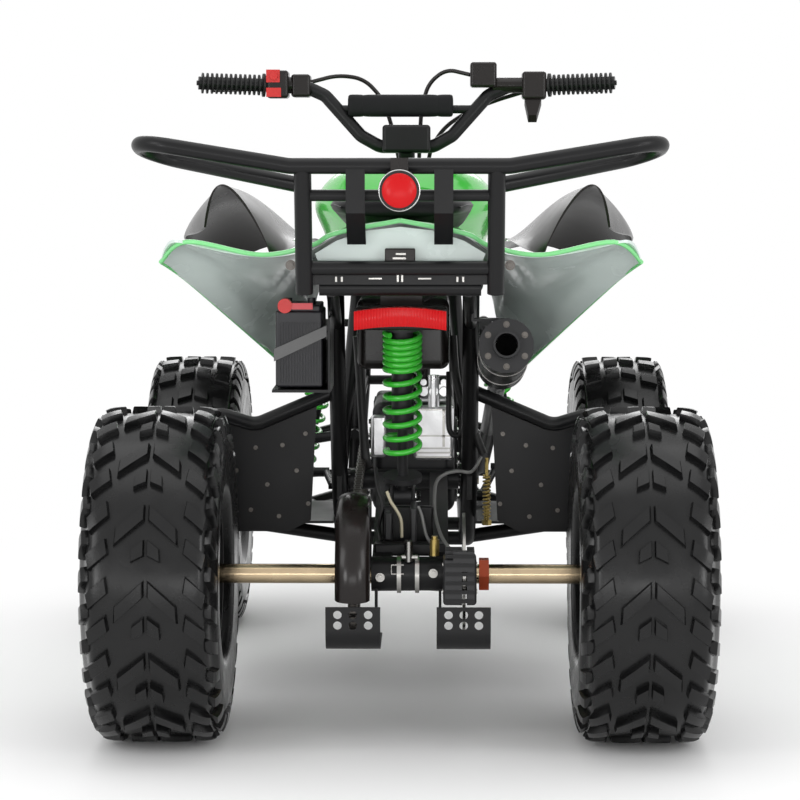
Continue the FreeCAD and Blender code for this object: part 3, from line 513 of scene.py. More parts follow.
def all_springs():
    axis = (SHOCK_BOTTOM - SHOCK_TOP).normalized()
    line = coil(SHOCK_TOP + axis * 0.033, SHOCK_BOTTOM - axis * 0.070, 0.0255, REAR_WIRE, 6, 6.2)
    placed(swept("rear_coil", line, REAR_WIRE, "spring", 14), "root", ["rear_spring"])
    coils = []
    for name, side in SIDES.items():
        top = at(side * 0.135, 0.950, 0.545)
        bottom = at(side * 0.200, 0.966, 0.252)
        down = (bottom - top).normalized()
        line = coil(top + down * 0.033, bottom - down * 0.040, 0.0200, FRONT_WIRE, 3, 8)
        coils.append(swept("front_coil_" + name, line, FRONT_WIRE, "spring", 12))
    placed(coils[0], "root")
    placed(coils[1], "root", ["front_springs"])


# Seat and pad


def section_loop(y, half_width, bottom, top, shoulder, tuck, count=40):
    """A crowned cross-section that is flat below, as points round it."""
    loop = []
    for index in range(count):
        angle = 2 * math.pi * index / count
        x = math.sin(angle)
        z = math.cos(angle)
        wide = math.copysign(abs(x) ** 0.72, x) * half_width
        if z >= 0:
            height = shoulder + (top - shoulder) * z ** 0.8
        else:
            height = shoulder + (bottom - shoulder) * (-z) ** 0.55
            wide *= 1 - (1 - tuck) * (-z) ** 0.9
        loop.append(at(wide, y, height))
    return loop


SEAT_SECTIONS = [
    (-0.090, 0.060, 0.757, 0.777, 0.765),
    (-0.078, 0.084, 0.756, 0.784, 0.768),
    (-0.040, 0.097, 0.756, 0.789, 0.771),
    (0.030, 0.102, 0.755, 0.788, 0.770),
    (0.110, 0.104, 0.752, 0.786, 0.768),
    (0.190, 0.102, 0.744, 0.780, 0.762),
    (0.270, 0.098, 0.734, 0.776, 0.753),
    (0.340, 0.094, 0.722, 0.776, 0.746),
    (0.400, 0.084, 0.714, 0.783, 0.745),
    (0.419, 0.074, 0.714, 0.786, 0.746),
]
SEAT_TUCK = 0.94


def padded_piece(name, build, material, angle, body, node):
    """A smoothed, stuffed cover that stands for a plain CAD block."""
    cover = from_bmesh(name, build, material, angle=angle)
    smooth = cover.modifiers.new("smooth", "SUBSURF")
    smooth.levels = 2
    smooth.render_levels = 2
    placed(cover, body, [node])


def seat_cover():
    build = bmesh.new()
    loops = []
    for section in SEAT_SECTIONS:
        loops.append([build.verts.new(p) for p in section_loop(*section, SEAT_TUCK)])
    close_loft(build, loops)
    padded_piece("seat_cover", build, "vinyl", 60, "root", "seat")
    for name, side in SIDES.items():
        seam = []
        for y, half, *_, shoulder in SEAT_SECTIONS[1:-1]:
            seam.append((side * half * 0.985, y, shoulder + 0.001))
        line = [at(*p) for p in catmull(seam, 6)]
        placed(swept("seat_piping_" + name, line, 0.0016, "vinyl", 8), "root")


PAD_SIDES = 28
PAD_SQUARENESS = 0.6


def bar_pad():
    """The handlebar pad, drawn in at its ends and at its two stitched bands."""
    low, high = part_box("handlebar_pad")
    build = bmesh.new()
    centre = (Vector(low) + Vector(high)) / 2
    size = (Vector(high) - Vector(low)) / 2
    stations = [-1.0, -0.97, -0.9, -0.72, -0.7, -0.68, -0.35, 0, 0.35, 0.68, 0.7, 0.72, 0.9, 0.97, 1.0]
    loops = []
    for station in stations:
        if abs(station) == 1.0:
            fill = 0.80
        elif abs(abs(station) - 0.7) < 0.001:
            fill = 0.90
        else:
            fill = 0.985
        loop = []
        for index in range(PAD_SIDES):
            angle = 2 * math.pi * index / PAD_SIDES
            y = math.copysign(abs(math.cos(angle)) ** PAD_SQUARENESS, math.cos(angle)) * size.y * fill
            z = math.copysign(abs(math.sin(angle)) ** PAD_SQUARENESS, math.sin(angle)) * size.z * fill
            loop.append(build.verts.new(centre + Vector((station * size.x * 0.99, y, z))))
        loops.append(loop)
    close_loft(build, loops)
    padded_piece("bar_pad_cover", build, "cloth", 50, "steering", "handlebar_pad")


# Lights


LENS_HALF_WIDTH = 0.064
LENS_BOW = 0.010
LENS_LIFT = 0.006
LENS_SWELL = 0.004
LENS_HEIGHT = 0.026
FLUTE_DEPTH = 0.0005
SAMPLES_PER_FLUTE = 4


def tail_lens():
    """The bowed, fluted lens of the tail light."""
    build = bmesh.new()
    rows, columns = 8, 124
    grid = []
    for i in range(columns + 1):
        across = -LENS_HALF_WIDTH + 2 * LENS_HALF_WIDTH * i / columns
        crown = 1 - (across / LENS_HALF_WIDTH) ** 2
        flute = FLUTE_DEPTH * math.cos(i * 2 * math.pi / SAMPLES_PER_FLUTE)
        line = []
        for j in range(rows + 1):
            up = j / rows
            back = -0.116 - LENS_BOW * crown - LENS_SWELL * math.sin(math.pi * up) - flute
            line.append(build.verts.new(at(across, back, 0.600 + LENS_HEIGHT * up + LENS_LIFT * crown)))
        grid.append(line)
    for i in range(columns):
        for j in range(rows):
            build.faces.new([grid[i][j], grid[i + 1][j], grid[i + 1][j + 1], grid[i][j + 1]])
    border = [edge for edge in build.edges if edge.is_boundary]
    made = bmesh.ops.extrude_edge_only(build, edges=border)["geom"]
    moved = [v for v in made if isinstance(v, bmesh.types.BMVert)]
    for vert in moved:
        vert.co.y = at(0, -0.100, 0).y
    build.faces.new(ordered_loop(moved))
    bmesh.ops.recalc_face_normals(build, faces=build.faces)
    placed(from_bmesh("tail_lens", build, "red", angle=40), "root")


def ordered_loop(verts):
    """A closed ring of vertices put in order along their shared edges."""
    wanted = set(verts)
    loop = [verts[0]]
    while True:
        following = None
        for edge in loop[-1].link_edges:
            other = edge.other_vert(loop[-1])
            if other in wanted and other not in loop:
                following = other
                break
        if following is None:
            return loop
        loop.append(following)


REFLECTOR_CENTRE = at(0, -0.205, 0.794)
REFLECTOR_PROFILE = [(0.008, -0.0058), (0.016, -0.0046), (0.022, -0.0024), (0.0245, 0.0), (0.0250, 0.006)]
REFLECTOR_TIP = -0.006
REFLECTOR_SIDES = 48
RIGHT = Vector((1, 0, 0))
BACK = Vector((0, -1, 0))
UP = Vector((0, 0, 1))


def reflector_lens():
    build = bmesh.new()
    rings = []
    for radius, depth in REFLECTOR_PROFILE:
        middle = REFLECTOR_CENTRE - BACK * depth
        rings.append([build.verts.new(p) for p in ring_points(middle, RIGHT, UP, radius, REFLECTOR_SIDES)])
    tip = build.verts.new(REFLECTOR_CENTRE - BACK * REFLECTOR_TIP)
    for k in range(REFLECTOR_SIDES):
        build.faces.new([tip, rings[0][k], rings[0][(k + 1) % REFLECTOR_SIDES]])
    stitch(build, rings)
    build.faces.new(rings[-1])
    bmesh.ops.recalc_face_normals(build, faces=build.faces)
    placed(from_bmesh("reflector_lens", build, "red", angle=60), "root")


# Battery, silencer and small hardware


def battery_trim():
    low, high = (Vector(corner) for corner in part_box("battery"))
    ribs = bmesh.new()
    count = 15
    for index in range(count):
        x = low.x + 0.006 + (high.x - low.x - 0.012) * index / (count - 1)
        near = Vector((x - 0.0009, low.y - 0.0018, low.z + 0.006))
        add_box(ribs, near, Vector((x + 0.0009, low.y + 0.001, high.z - 0.034)))
    placed(from_bmesh("battery_ribs", ribs, "battery", smooth=False), "root")
    caps = bmesh.new()
    terminal = Vector((low.x + 0.014, low.y, high.z - 0.010))
    add_cylinder(caps, terminal + BACK * 0.004, terminal - BACK * 0.014, 0.0105)
    placed(from_bmesh("battery_red_cap", caps, "red_plastic"), "root")
    label = bmesh.new()
    near = Vector((low.x + 0.024, low.y - 0.003, high.z - 0.015))
    add_box(label, near, Vector((low.x + 0.054, low.y + 0.004, high.z - 0.006)))
    placed(from_bmesh("battery_terminal_bar", label, "pink", smooth=False), "root")
    strap = bmesh.new()
    left = low.x - 0.002
    right = high.x + 0.006
    corners = [(left, 0.038), (right, 0.074), (right, 0.090), (left, 0.056)]
    front = [strap.verts.new((x, low.y - 0.0055, low.z + z)) for x, z in corners]
    back = [strap.verts.new((x, low.y - 0.002, low.z + z)) for x, z in corners]
    strap.faces.new(front)
    strap.faces.new(list(reversed(back)))
    for k in range(4):
        strap.faces.new([front[k], back[k], back[(k + 1) % 4], front[(k + 1) % 4]])
    bmesh.ops.recalc_face_normals(strap, faces=strap.faces)
    placed(from_bmesh("battery_strap", strap, "strap", smooth=False), "root")


def silencer_trim():
    front_end = at(0.149, 0.262, 0.520)
    rear_end = at(0.149, -0.040, 0.573)
    along = (rear_end - front_end).normalized()
    up = (UP - along * UP.dot(along)).normalized()
    side = along.cross(up)
    face = rear_end + along * 0.009
    bolts = bmesh.new()
    for place in ring_points(face, up, -side, 0.030, 6):
        add_bolt(bolts, place, along, 0.0032, 0.004)
    placed(from_bmesh("silencer_bolts", bolts, "oily", angle=25), "root")
    lip = ring_points(rear_end + along * 0.0085, side, up, 0.0175, 48)
    placed(swept("silencer_lip", lip + lip[:1], 0.0013, "steel", 8), "root")
    # a near-black plug 6 mm inside the outlet: real soot, and painted shade standing for the hollow depth of
    # the pipe
    throat = bmesh.new()
    add_cylinder(throat, rear_end - along * 0.058, rear_end - along * 0.006, 0.0156, 32)
    placed(from_bmesh("silencer_throat", throat, "soot_and_painted_shade"), "root")
    band = bmesh.new()
    for distance in (0.012, 0.060, 0.200):
        add_cylinder(band, rear_end - along * distance, rear_end - along * (distance + 0.006), 0.0378, 48)
    placed(from_bmesh("silencer_bands", band, "steel", angle=25), "root")


def hardware():
    """Bolt heads on the frame, rack, heel guards, swingarm and engine."""
    bolts = bmesh.new()
    small = bmesh.new()
    for side in (-1, 1):
        out = RIGHT * side
        add_bolt(bolts, at(side * 0.109, 0.400, 0.330), out, 0.009, 0.009)
        for x, z in HEEL_BOLTS:
            add_bolt(small, at(side * x, 0.326, z), BACK, 0.0024, 0.0030)
        for y, z in ((0.03, 0.7195), (0.12, 0.688)):
            add_bolt(bolts, at(side * 0.150, y, z), UP, 0.006, 0.004)
        add_bolt(small, at(side * 0.152, -0.104, 0.690), BACK, 0.005, 0.005)
        add_bolt(bolts, at(side * 0.019, 0.160, 0.333), out, 0.009, 0.008)
    for x, outward in ((0.084, RIGHT), (-0.057, -RIGHT)):
        for place in ring_points(at(x, 0.548, 0.345), -BACK, UP, 0.062, 8):
            add_bolt(bolts, place, outward, 0.0045, 0.004)
    placed(from_bmesh("bolt_heads", bolts, "chrome", angle=25), "root")
    placed(from_bmesh("small_bolt_heads", small, "oily", angle=25), "root")


HEEL_BOLTS = [
    (0.150, 0.300), (0.154, 0.410), (0.168, 0.352), (0.190, 0.392), (0.196, 0.280), (0.214, 0.330),
    (0.232, 0.388), (0.240, 0.290), (0.262, 0.352), (0.276, 0.405), (0.290, 0.300), (0.300, 0.350),
]


NUT_CIRCLE = 0.045


def wheel_nuts():
    for name, side in SIDES.items():
        ends = (
            ("rear", REAR_TYRE_X + 0.0012, 0, "rear_axle"),
            ("front", FRONT_TYRE_X + 0.011, WHEELBASE, "front_wheel_" + name),
        )
        for label, face, y, body in ends:
            nuts = bmesh.new()
            for place in ring_points(at(side * face, y, TYRE_RADIUS), -BACK, UP, NUT_CIRCLE, 4):
                add_bolt(nuts, place, RIGHT * side, 0.0085, 0.012)
            placed(from_bmesh(label + "_wheel_nuts_" + name, nuts, "chrome", angle=25), body)


def switch_buttons():
    buttons = bmesh.new()
    add_box(buttons, at(-0.2325, 0.6255, 0.964), at(-0.210, 0.640, 0.985))
    add_box(buttons, at(-0.2325, 0.6255, 0.940), at(-0.208, 0.634, 0.955))
    add_cylinder(buttons, at(-0.220, 0.627, 0.9745), at(-0.220, 0.6225, 0.9745), 0.0065)
    placed(from_bmesh("switch_buttons", buttons, "red_plastic"), "steering")


def grip_ribs():
    ribs = bmesh.new()
    for side in (-1, 1):
        start = at(side * 0.236, 0.6486, 0.9598)
        end = at(side * 0.348, 0.6275, 0.9631)
        along = (end - start).normalized()
        length = (end - start).length
        for index in range(13):
            middle = start + along * (0.010 + (length - 0.020) * index / 12)
            add_cylinder(ribs, middle - along * 0.0014, middle + along * 0.0014, 0.0172, 28)
        add_cylinder(ribs, start, start + along * 0.004, 0.0195, 28)
    placed(from_bmesh("grip_ribs", ribs, "grip", angle=25), "steering")


# Rear details


REAR_LIP = [(0, -0.116, 0.752), (0.090, -0.114, 0.734), (0.124, -0.106, 0.717), (0.195, -0.095, 0.704),
            (0.296, -0.100, 0.722), (0.338, -0.051, 0.692)]
OUTER_LIP = [(0.338, -0.051, 0.692), (0.311, 0.030, 0.664), (0.259, 0.165, 0.602), (0.219, 0.280, 0.552),
             (0.184, 0.380, 0.508)]


def fender_lips():
    """The rolled edge round the rear fender, in a brighter, paler green that is a painted highlight along the
    rim.
    """
    for name, side in SIDES.items():
        rear = [at(side * x, y, z) for x, y, z in catmull(REAR_LIP, 8)]
        outer = [at(side * x, y, z) for x, y, z in catmull(OUTER_LIP, 8)]
        placed(swept("fender_rear_lip_" + name, rear, 0.0034, "green_rim_highlight", 8), "root")
        placed(swept("fender_outer_lip_" + name, outer, 0.0026, "green_rim_highlight", 8), "root")


def revolved(name, profile, first_degrees, last_degrees, material, steps=40):
    """A closed outline of (x, radius) points carried round the rear axle's line."""
    build = bmesh.new()
    rings = []
    for step in range(steps + 1):
        angle = math.radians(first_degrees + (last_degrees - first_degrees) * step / steps)
        outward = BACK * math.cos(angle) + UP * math.sin(angle)
        rings.append([build.verts.new(at(x, 0, TYRE_RADIUS) + outward * radius) for x, radius in profile])
    close_loft(build, rings)
    return from_bmesh(name, build, material, angle=40)


GUARD_X = -0.0675
GUARD_HALF_WIDTH = 0.0245
GUARD_RADIUS = 0.118
GUARD_CROWN = 0.013
GUARD_ARC = (-12, 100)


def sprocket_guard():
    """The crowned chain cover with its flat inner web."""
    outer = []
    inner = []
    for step in range(17):
        share = -1 + step / 8
        crown = GUARD_CROWN * (1 - math.sqrt(max(0.0, 1 - share * share)))
        outer.append((GUARD_X + GUARD_HALF_WIDTH * share, GUARD_RADIUS - crown))
        inner.append((GUARD_X + (GUARD_HALF_WIDTH - 0.002) * share, GUARD_RADIUS - 0.0035 - crown))
    shell = revolved("sprocket_guard", outer + inner[::-1], *GUARD_ARC, "dark_plastic")
    placed(shell, "root", ["sprocket_cover"])
    web = [(-0.046, 0.084), (-0.043, 0.084), (-0.043, 0.107), (-0.046, 0.107)]
    placed(revolved("sprocket_guard_web", web, *GUARD_ARC, "dark_plastic"), "root")
    bracket = bmesh.new()
    add_box(bracket, at(-0.046, -0.060, TYRE_RADIUS + 0.016), at(-0.043, 0.020, TYRE_RADIUS + 0.104))
    placed(from_bmesh("sprocket_guard_bracket", bracket, "powder", smooth=False), "root")


CHAIN_X = -0.068
REAR_CHAIN_RADIUS = 0.080
FRONT_CHAIN_RADIUS = 0.030
FRONT_SPROCKET = (0.500, 0.345)
CHAIN_PITCH = 0.0127


def on_circle(centre, radius, angle):
    return centre[0] + radius * math.cos(angle), centre[1] + radius * math.sin(angle)


def chain_path():
    """Points round both sprockets and along the two straight runs, one chain pitch apart."""
    rear = (0.0, TYRE_RADIUS)
    front = FRONT_SPROCKET
    span = math.dist(rear, front)
    rise = math.atan2(front[1] - rear[1], front[0] - rear[0])
    opening = math.acos((REAR_CHAIN_RADIUS - FRONT_CHAIN_RADIUS) / span)
    straight = math.sqrt(span ** 2 - (REAR_CHAIN_RADIUS - FRONT_CHAIN_RADIUS) ** 2)
    around_front = 2 * opening * FRONT_CHAIN_RADIUS
    around_rear = (2 * math.pi - 2 * opening) * REAR_CHAIN_RADIUS
    total = 2 * straight + around_front + around_rear
    count = round(total / CHAIN_PITCH / 2) * 2
    places = []
    for index in range(count):
        reach = total * index / count
        if reach < straight:
            start = on_circle(rear, REAR_CHAIN_RADIUS, rise + opening)
            place = on_circle(start, reach, rise + opening - math.pi / 2)
        elif reach < straight + around_front:
            turned = (reach - straight) / FRONT_CHAIN_RADIUS
            place = on_circle(front, FRONT_CHAIN_RADIUS, rise + opening - turned)
        elif reach < 2 * straight + around_front:
            start = on_circle(front, FRONT_CHAIN_RADIUS, rise - opening)
            run = reach - straight - around_front
            place = on_circle(start, run, rise - opening - math.pi / 2)
        else:
            turned = (reach - 2 * straight - around_front) / REAR_CHAIN_RADIUS
            place = on_circle(rear, REAR_CHAIN_RADIUS, rise - opening - turned)
        places.append(place)
    return places


def chain_links():
    build = bmesh.new()
    places = chain_path()
    half = CHAIN_PITCH / 2
    for index, place in enumerate(places):
        ahead = places[(index + 1) % len(places)]
        middle = at(CHAIN_X, (place[0] + ahead[0]) / 2, (place[1] + ahead[1]) / 2)
        along = Vector((0, ahead[0] - place[0], ahead[1] - place[1])).normalized()
        up = RIGHT.cross(along)
        spread = 0.0052 if index % 2 else 0.0036
        for sense in (-1, 1):
            loop = []
            for step in range(12):
                angle = 2 * math.pi * step / 12
                end = half if math.cos(angle) >= 0 else -half
                loop.append(along * (end + 0.0042 * math.cos(angle)) + up * 0.0042 * math.sin(angle))
            near = [build.verts.new(middle + RIGHT * sense * spread + p) for p in loop]
            far = [build.verts.new(middle + RIGHT * sense * (spread + 0.0014) + p) for p in loop]
            build.faces.new(near)
            build.faces.new(list(reversed(far)))
            for k in range(12):
                build.faces.new([near[k], far[k], far[(k + 1) % 12], near[(k + 1) % 12]])
        pin = at(CHAIN_X, place[0], place[1])
        add_cylinder(build, pin - RIGHT * 0.0036, pin + RIGHT * 0.0036, 0.0040, 10)
    bmesh.ops.recalc_face_normals(build, faces=build.faces)
    placed(from_bmesh("chain_links", build, "oily", angle=30), "root", ["chain"])


def rounded_block(name, low, high, material, round_by=0.004, body="root"):
    build = bmesh.new()
    add_box(build, low, high)
    bmesh.ops.recalc_face_normals(build, faces=build.faces)
    piece = from_bmesh(name, build, material)
    edge = piece.modifiers.new("edge", "BEVEL")
    edge.width = round_by
    edge.segments = 3
    return placed(piece, body)


def engine_back():
    """The bright case half, its ribs and the carburettor seen behind the shock."""
    rounded_block("crankcase_back", at(0.014, 0.416, 0.358), at(0.0785, 0.432, 0.446), "alloy", 0.006)
    rounded_block("magneto_back", at(-0.054, 0.419, 0.362), at(-0.030, 0.432, 0.430), "alloy", 0.005)
    ribs = bmesh.new()
    for z in (0.362, 0.369, 0.376, 0.396, 0.438):
        add_box(ribs, at(0.018, 0.4145, z), at(0.0745, 0.4175, z + 0.0025))
    add_box(ribs, at(0.060, 0.4145, 0.380), at(0.064, 0.4175, 0.440))
    placed(from_bmesh("crankcase_ribs", ribs, "steel", smooth=False), "root")
    throat = bmesh.new()
    for x in (0.030, 0.046, 0.062):
        add_cylinder(throat, at(x, 0.392, 0.470), at(x, 0.412, 0.470), 0.0072, 20)
        add_cylinder(throat, at(x, 0.398, 0.484), at(x, 0.410, 0.484), 0.0050, 18)
    add_cylinder(throat, at(0.022, 0.404, 0.456), at(0.074, 0.404, 0.456), 0.0032, 16)
    add_cylinder(throat, at(0.046, 0.400, 0.446), at(0.046, 0.400, 0.496), 0.0090, 20)
    placed(from_bmesh("carburettor_bits", throat, "alloy", angle=30), "root")


HOSES = {
    "breather_hose": ("hose", 0.0045, [
        (0.070, 0.404, 0.500), (0.070, 0.390, 0.466), (0.070, 0.386, 0.420), (0.074, 0.386, 0.405),
        (0.081, 0.386, 0.401), (0.088, 0.386, 0.405), (0.091, 0.386, 0.420), (0.091, 0.390, 0.466),
    ]),
    "drain_hose": ("hose", 0.0065, [
        (0.076, 0.372, 0.560), (0.080, 0.360, 0.505), (0.087, 0.354, 0.470),
        (0.097, 0.352, 0.440), (0.112, 0.350, 0.406), (0.124, 0.349, 0.376),
    ]),
    "vent_hose": ("hose", 0.0075, [
        (-0.074, 0.366, 0.560), (-0.070, 0.372, 0.500), (-0.066, 0.376, 0.430),
        (-0.062, 0.376, 0.372), (-0.056, 0.370, 0.350),
    ]),
    "brake_hose": ("grey_hose", 0.0026, [
        (0.120, 0.330, 0.372), (0.104, 0.200, 0.366), (0.083, 0.196, 0.367), (0.063, 0.196, 0.362),
        (0.050, 0.180, 0.350), (0.048, 0.110, 0.320), (0.056, 0.030, 0.296), (0.070, -0.050, 0.284),
    ]),
    "cream_wire": ("cream", 0.0024, [
        (-0.022, 0.066, 0.352), (-0.016, 0.060, 0.338), (-0.008, 0.058, 0.326),
        (-0.001, 0.056, 0.311), (0.000, 0.056, 0.286),
    ]),
    "sensor_wire": ("grey_hose", 0.0024, [
        (0.024, 0.066, 0.330), (0.029, 0.060, 0.318), (0.032, 0.058, 0.305),
        (0.036, 0.054, 0.289), (0.044, 0.040, 0.276), (0.048, 0.000, 0.268),
    ]),
    "left_wire": ("hose", 0.0030, [
        (-0.040, 0.130, 0.380), (-0.036, 0.110, 0.350), (-0.030, 0.100, 0.325),
        (-0.034, 0.086, 0.298), (-0.030, 0.060, 0.280),
    ]),
    "lamp_wire": ("hose", 0.0028, [
        (0.030, 0.020, 0.634), (0.044, 0.040, 0.640), (0.070, 0.080, 0.648), (0.088, 0.150, 0.650),
    ]),
}


def hoses():
    for name, (material, radius, route) in HOSES.items():
        line = [at(*point) for point in catmull(route, 6)]
        placed(swept(name, line, radius, material, 10), "root")


def linkage():
    """The swingarm's gusset, clevis and clamps between the shock and the axle."""
    for name, low, high, material, round_by in (
        ("swingarm_gusset", at(-0.030, 0.098, 0.262), at(0.046, 0.112, 0.326), "powder", 0.004),
        ("swingarm_bridge", at(-0.040, 0.030, 0.262), at(0.066, 0.060, 0.280), "powder", 0.003),
        ("clevis_left", at(-0.026, 0.060, 0.280), at(-0.014, 0.130, 0.322), "dark_cast_and_engine_shade", 0.003),
        ("clevis_right", at(0.012, 0.050, 0.276), at(0.022, 0.130, 0.330), "dark_cast_and_engine_shade", 0.003),
    ):
        rounded_block(name, low, high, material, round_by)
    clamps = bmesh.new()
    add_cylinder(clamps, at(-0.006, -0.004, TYRE_RADIUS), at(0.000, -0.004, TYRE_RADIUS), 0.0272, 36)
    add_cylinder(clamps, at(0.020, -0.004, TYRE_RADIUS), at(0.026, -0.004, TYRE_RADIUS), 0.0272, 36)
    add_cylinder(clamps, at(0.011, -0.014, 0.262), at(0.011, -0.018, 0.292), 0.0062, 18)
    add_cylinder(clamps, at(0.001, -0.016, 0.268), at(0.024, -0.016, 0.268), 0.0036, 14)
    add_bolt(clamps, at(0.046, -0.026, 0.246), BACK, 0.0045, 0.005)
    add_bolt(clamps, at(-0.030, -0.026, 0.240), BACK, 0.0045, 0.005)
    add_cylinder(clamps, at(-0.014, -0.0258, 0.258), at(0.004, -0.0258, 0.258), 0.0011, 10)
    add_cylinder(clamps, at(-0.014, -0.0262, 0.245), at(0.004, -0.0262, 0.245), 0.0011, 10)
    add_cylinder(clamps, at(-0.014, -0.0258, 0.258), at(-0.014, -0.0262, 0.245), 0.0011, 10)
    placed(from_bmesh("carrier_clamps", clamps, "steel", angle=30), "root")
    valve = bmesh.new()
    add_cylinder(valve, at(0.048, -0.040, 0.274), at(0.048, -0.040, 0.297), 0.0068, 20)
    add_cylinder(valve, at(0.048, -0.040, 0.297), at(0.048, -0.040, 0.302), 0.0046, 16)
    placed(from_bmesh("bleed_valve", valve, "brass", angle=30), "root")


def caliper_fins():
    """Cooling fins and pins on the back of the caliper."""
    low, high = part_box("rear_caliper")
    fins = bmesh.new()
    count = 6
    step = (high[2] - low[2]) / count
    for index in range(count):
        z = low[2] + step * (index + 0.3)
        near = Vector((low[0] + 0.003, low[1] - 0.0015, z))
        add_box(fins, near, Vector((high[0] - 0.003, low[1] + 0.004, z + step * 0.4)))
    placed(from_bmesh("caliper_fins", fins, "powder", smooth=False), "root")
    pins = bmesh.new()
    middle = (low[2] + high[2]) / 2
    for z in (middle - step * 1.5, middle + step * 1.5):
        pin = Vector((low[0] - 0.001, low[1] + 0.009, z))
        add_cylinder(pins, pin, Vector((high[0] + 0.001, pin.y, z)), 0.0035, 16)
    placed(from_bmesh("caliper_pins", pins, "steel", angle=30), "root")


def adjuster_spring():
    """The small brass spring of the brake light switch beside the right heel guard."""
    line = coil(at(0.129, 0.318, 0.346), at(0.129, 0.318, 0.280), 0.0052, 0.0016, 1, 11)
    placed(swept("switch_spring", line, 0.0016, "brass", 8), "root")
    body = bmesh.new()
    add_cylinder(body, at(0.129, 0.318, 0.272), at(0.129, 0.318, 0.296), 0.0040, 18)
    add_cylinder(body, at(0.129, 0.318, 0.268), at(0.129, 0.318, 0.276), 0.0078, 6)
    add_cylinder(body, at(0.129, 0.318, 0.340), at(0.129, 0.326, 0.372), 0.0030, 12)
    placed(from_bmesh("switch_spring_core", body, "brass", angle=30), "root")


def tail_plate():
    """The latch, the clips in the tail plate and the reflector's ring."""
    rounded_block("seat_latch", at(-0.021, -0.1265, 0.694), at(0.021, -0.118, 0.714), "dark_plastic", 0.002)
    clips = bmesh.new()
    add_box(clips, at(-0.010, -0.1278, 0.699), at(0.008, -0.126, 0.7015))
    add_box(clips, at(-0.006, -0.1278, 0.705), at(0.008, -0.126, 0.7075))
    for x, tilt in ((-0.088, 1), (-0.080, 1), (-0.003, 0), (0.003, 0), (0.079, -1), (0.087, -1)):
        add_box(clips, at(x - 0.0013, -0.1315, 0.668), at(x + 0.0013, -0.129, 0.678 - 0.003 * abs(tilt)))
    for x in (-0.034, 0.034):
        add_box(clips, at(x - 0.009, -0.1315, 0.6715), at(x + 0.009, -0.129, 0.6735))
    placed(from_bmesh("tail_clips", clips, "steel", smooth=False), "root")
    ring = ring_points(at(0, -0.190, REFLECTOR_CENTRE.z), RIGHT, UP, 0.0272, 60)
    placed(swept("reflector_ring", ring + ring[:1], 0.0014, "chrome", 8), "root")


# Stage


FADE_START = 0.75
FADE_END = 1.7


def fade_to_white(material):
    """Away from the object the floor shows plain white to the camera and in reflections."""
    tree = material.node_tree
    links = tree.links
    surface = tree.nodes["Principled BSDF"]
    place = add_node(tree, "ShaderNodeTexCoord")
    reach = add_node(tree, "ShaderNodeVectorMath")
    reach.operation = "LENGTH"
    far = add_node(tree, "ShaderNodeMapRange", From_Min=FADE_START, From_Max=FADE_END)
    far.interpolation_type = "SMOOTHSTEP"
    seen = seen_directly(tree)
    both = add_node(tree, "ShaderNodeMath")
    both.operation = "MULTIPLY"
    white = add_node(tree, "ShaderNodeEmission", Color=(1, 1, 1, 1))
    blend = add_node(tree, "ShaderNodeMixShader")
    links.new(place.outputs["Object"], reach.inputs[0])
    links.new(reach.outputs["Value"], far.inputs["Value"])
    links.new(far.outputs["Result"], both.inputs[0])
    links.new(seen, both.inputs[1])
    links.new(both.outputs["Value"], blend.inputs["Fac"])
    links.new(surface.outputs["BSDF"], blend.inputs[1])
    links.new(white.outputs["Emission"], blend.inputs[2])
    links.new(blend.outputs["Shader"], tree.nodes["Material Output"].inputs["Surface"])


def seen_directly(tree):
    """One for camera, glossy and transmission rays, and nought for the rays that light things."""
    path = tree.nodes.new("ShaderNodeLightPath")
    total = path.outputs["Is Camera Ray"]
    for name in ("Is Glossy Ray", "Is Transmission Ray"):
        either = tree.nodes.new("ShaderNodeMath")
        either.operation = "MAXIMUM"
        tree.links.new(total, either.inputs[0])
        tree.links.new(path.outputs[name], either.inputs[1])
        total = either.outputs["Value"]
    return total


FLOOR_HALF = 14.0
WORLD_LIGHT = 0.82


def stage():
    floor_data = bpy.data.meshes.new("floor")
    corners = [(x * FLOOR_HALF, y * FLOOR_HALF, 0) for x, y in ((-1, -1), (1, -1), (1, 1), (-1, 1))]
    floor_data.from_pydata(corners, [], [(0, 1, 2, 3)])
    floor = bpy.data.objects.new("floor", floor_data)
    bpy.context.collection.objects.link(floor)
    pale = bpy.data.materials.new("floor_pale")
    pale.use_nodes = True
    surface = pale.node_tree.nodes["Principled BSDF"]
    surface.inputs["Base Color"].default_value = (0.96, 0.96, 0.96, 1)
    surface.inputs["Roughness"].default_value = 0.9
    surface.inputs["Specular IOR Level"].default_value = 0.1
    fade_to_white(pale)
    floor_data.materials.append(pale)

    world = bpy.data.worlds.new("studio")
    bpy.context.scene.world = world
    world.use_nodes = True
    tree = world.node_tree
    tree.nodes.clear()
    output = add_node(tree, "ShaderNodeOutputWorld")
    choose = add_node(tree, "ShaderNodeMixShader")
    seen = add_node(tree, "ShaderNodeBackground", Color=(1, 1, 1, 1), Strength=1.0)
    lit = add_node(tree, "ShaderNodeBackground", Color=(1, 1, 1, 1), Strength=WORLD_LIGHT)
    tree.links.new(seen_directly(tree), choose.inputs["Fac"])
    tree.links.new(lit.outputs["Background"], choose.inputs[1])
    tree.links.new(seen.outputs["Background"], choose.inputs[2])
    tree.links.new(choose.outputs["Shader"], output.inputs["Surface"])


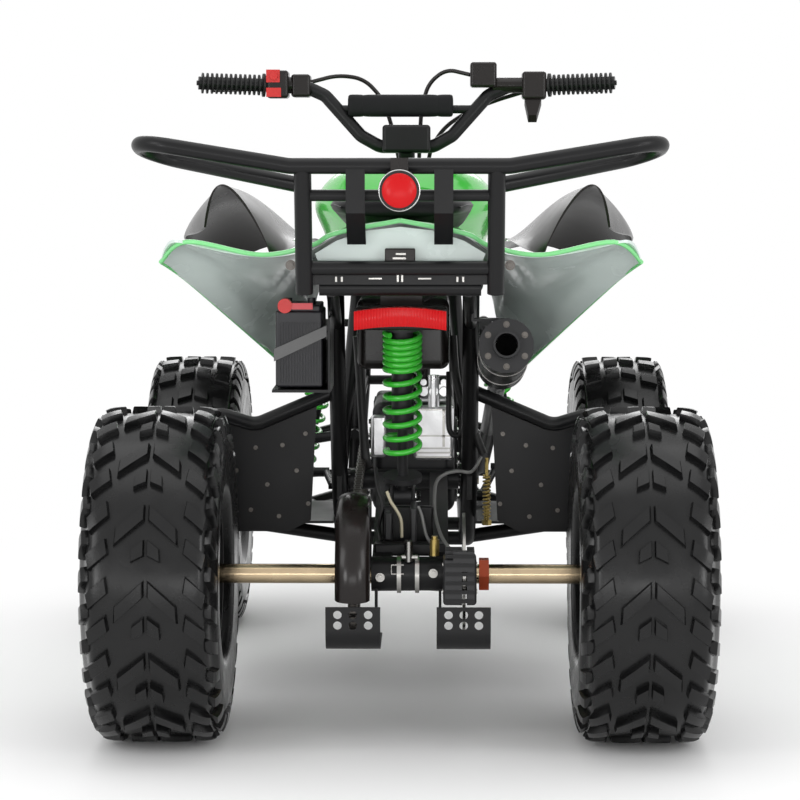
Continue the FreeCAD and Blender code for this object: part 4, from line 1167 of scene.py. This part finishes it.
def lamp(name, place, target, width, height, power):
    data = bpy.data.lights.new(name, "AREA")
    data.shape = "RECTANGLE"
    data.size = width
    data.size_y = height
    data.energy = power
    light = bpy.data.objects.new(name, data)
    light.location = place
    light.rotation_euler = (target - Vector(place)).to_track_quat("-Z", "Y").to_euler()
    bpy.context.collection.objects.link(light)


def lights():
    middle = Vector((0, 0, 0.5))
    lamp("softbox_left", (-2.6, -3.0, 2.0), middle, 1.6, 1.6, 26)
    lamp("softbox_right", (2.6, -2.8, 1.8), middle, 1.4, 1.6, 24)
    lamp("softbox_low_left", (-2.0, -4.4, 0.65), middle, 0.8, 0.9, 20)
    lamp("softbox_low_right", (2.1, -4.3, 0.75), middle, 0.8, 0.9, 18)
    lamp("softbox_low_middle", (0, -4.6, 0.30), middle, 1.8, 0.5, 10)
    lamp("softbox_top", (0, -0.4, 3.4), middle, 2.6, 2.6, 22)
    lamp("softbox_front", (0, 3.5, 2.2), middle, 2.2, 1.2, 26)


LENS_MM = 116.73
SENSOR_MM = 36.0
CAMERA_BACK = 3.701
CAMERA_HEIGHT = 0.832
CAMERA_RIGHT = 0.050
YAW = 0.0140
PITCH = 0.0914


def camera():
    data = bpy.data.cameras.new("view")
    data.sensor_width = SENSOR_MM
    data.lens = LENS_MM
    data.clip_end = 50.0
    eye = bpy.data.objects.new("view", data)
    eye.location = at(CAMERA_RIGHT, -CAMERA_BACK, CAMERA_HEIGHT)
    forward = Vector((-math.sin(YAW) * math.cos(PITCH), math.cos(YAW) * math.cos(PITCH), -math.sin(PITCH)))
    eye.rotation_euler = forward.to_track_quat("-Z", "Y").to_euler()
    bpy.context.collection.objects.link(eye)
    bpy.context.scene.camera = eye
    bpy.context.scene.view_settings.view_transform = "Standard"


def main():
    camera()
    dress_nodes()
    all_tyres()
    all_springs()
    seat_cover()
    bar_pad()
    tail_lens()
    reflector_lens()
    battery_trim()
    silencer_trim()
    hardware()
    wheel_nuts()
    switch_buttons()
    grip_ribs()
    fender_lips()
    sprocket_guard()
    chain_links()
    engine_back()
    hoses()
    linkage()
    adjuster_spring()
    caliper_fins()
    tail_plate()
    stage()
    lights()


main()
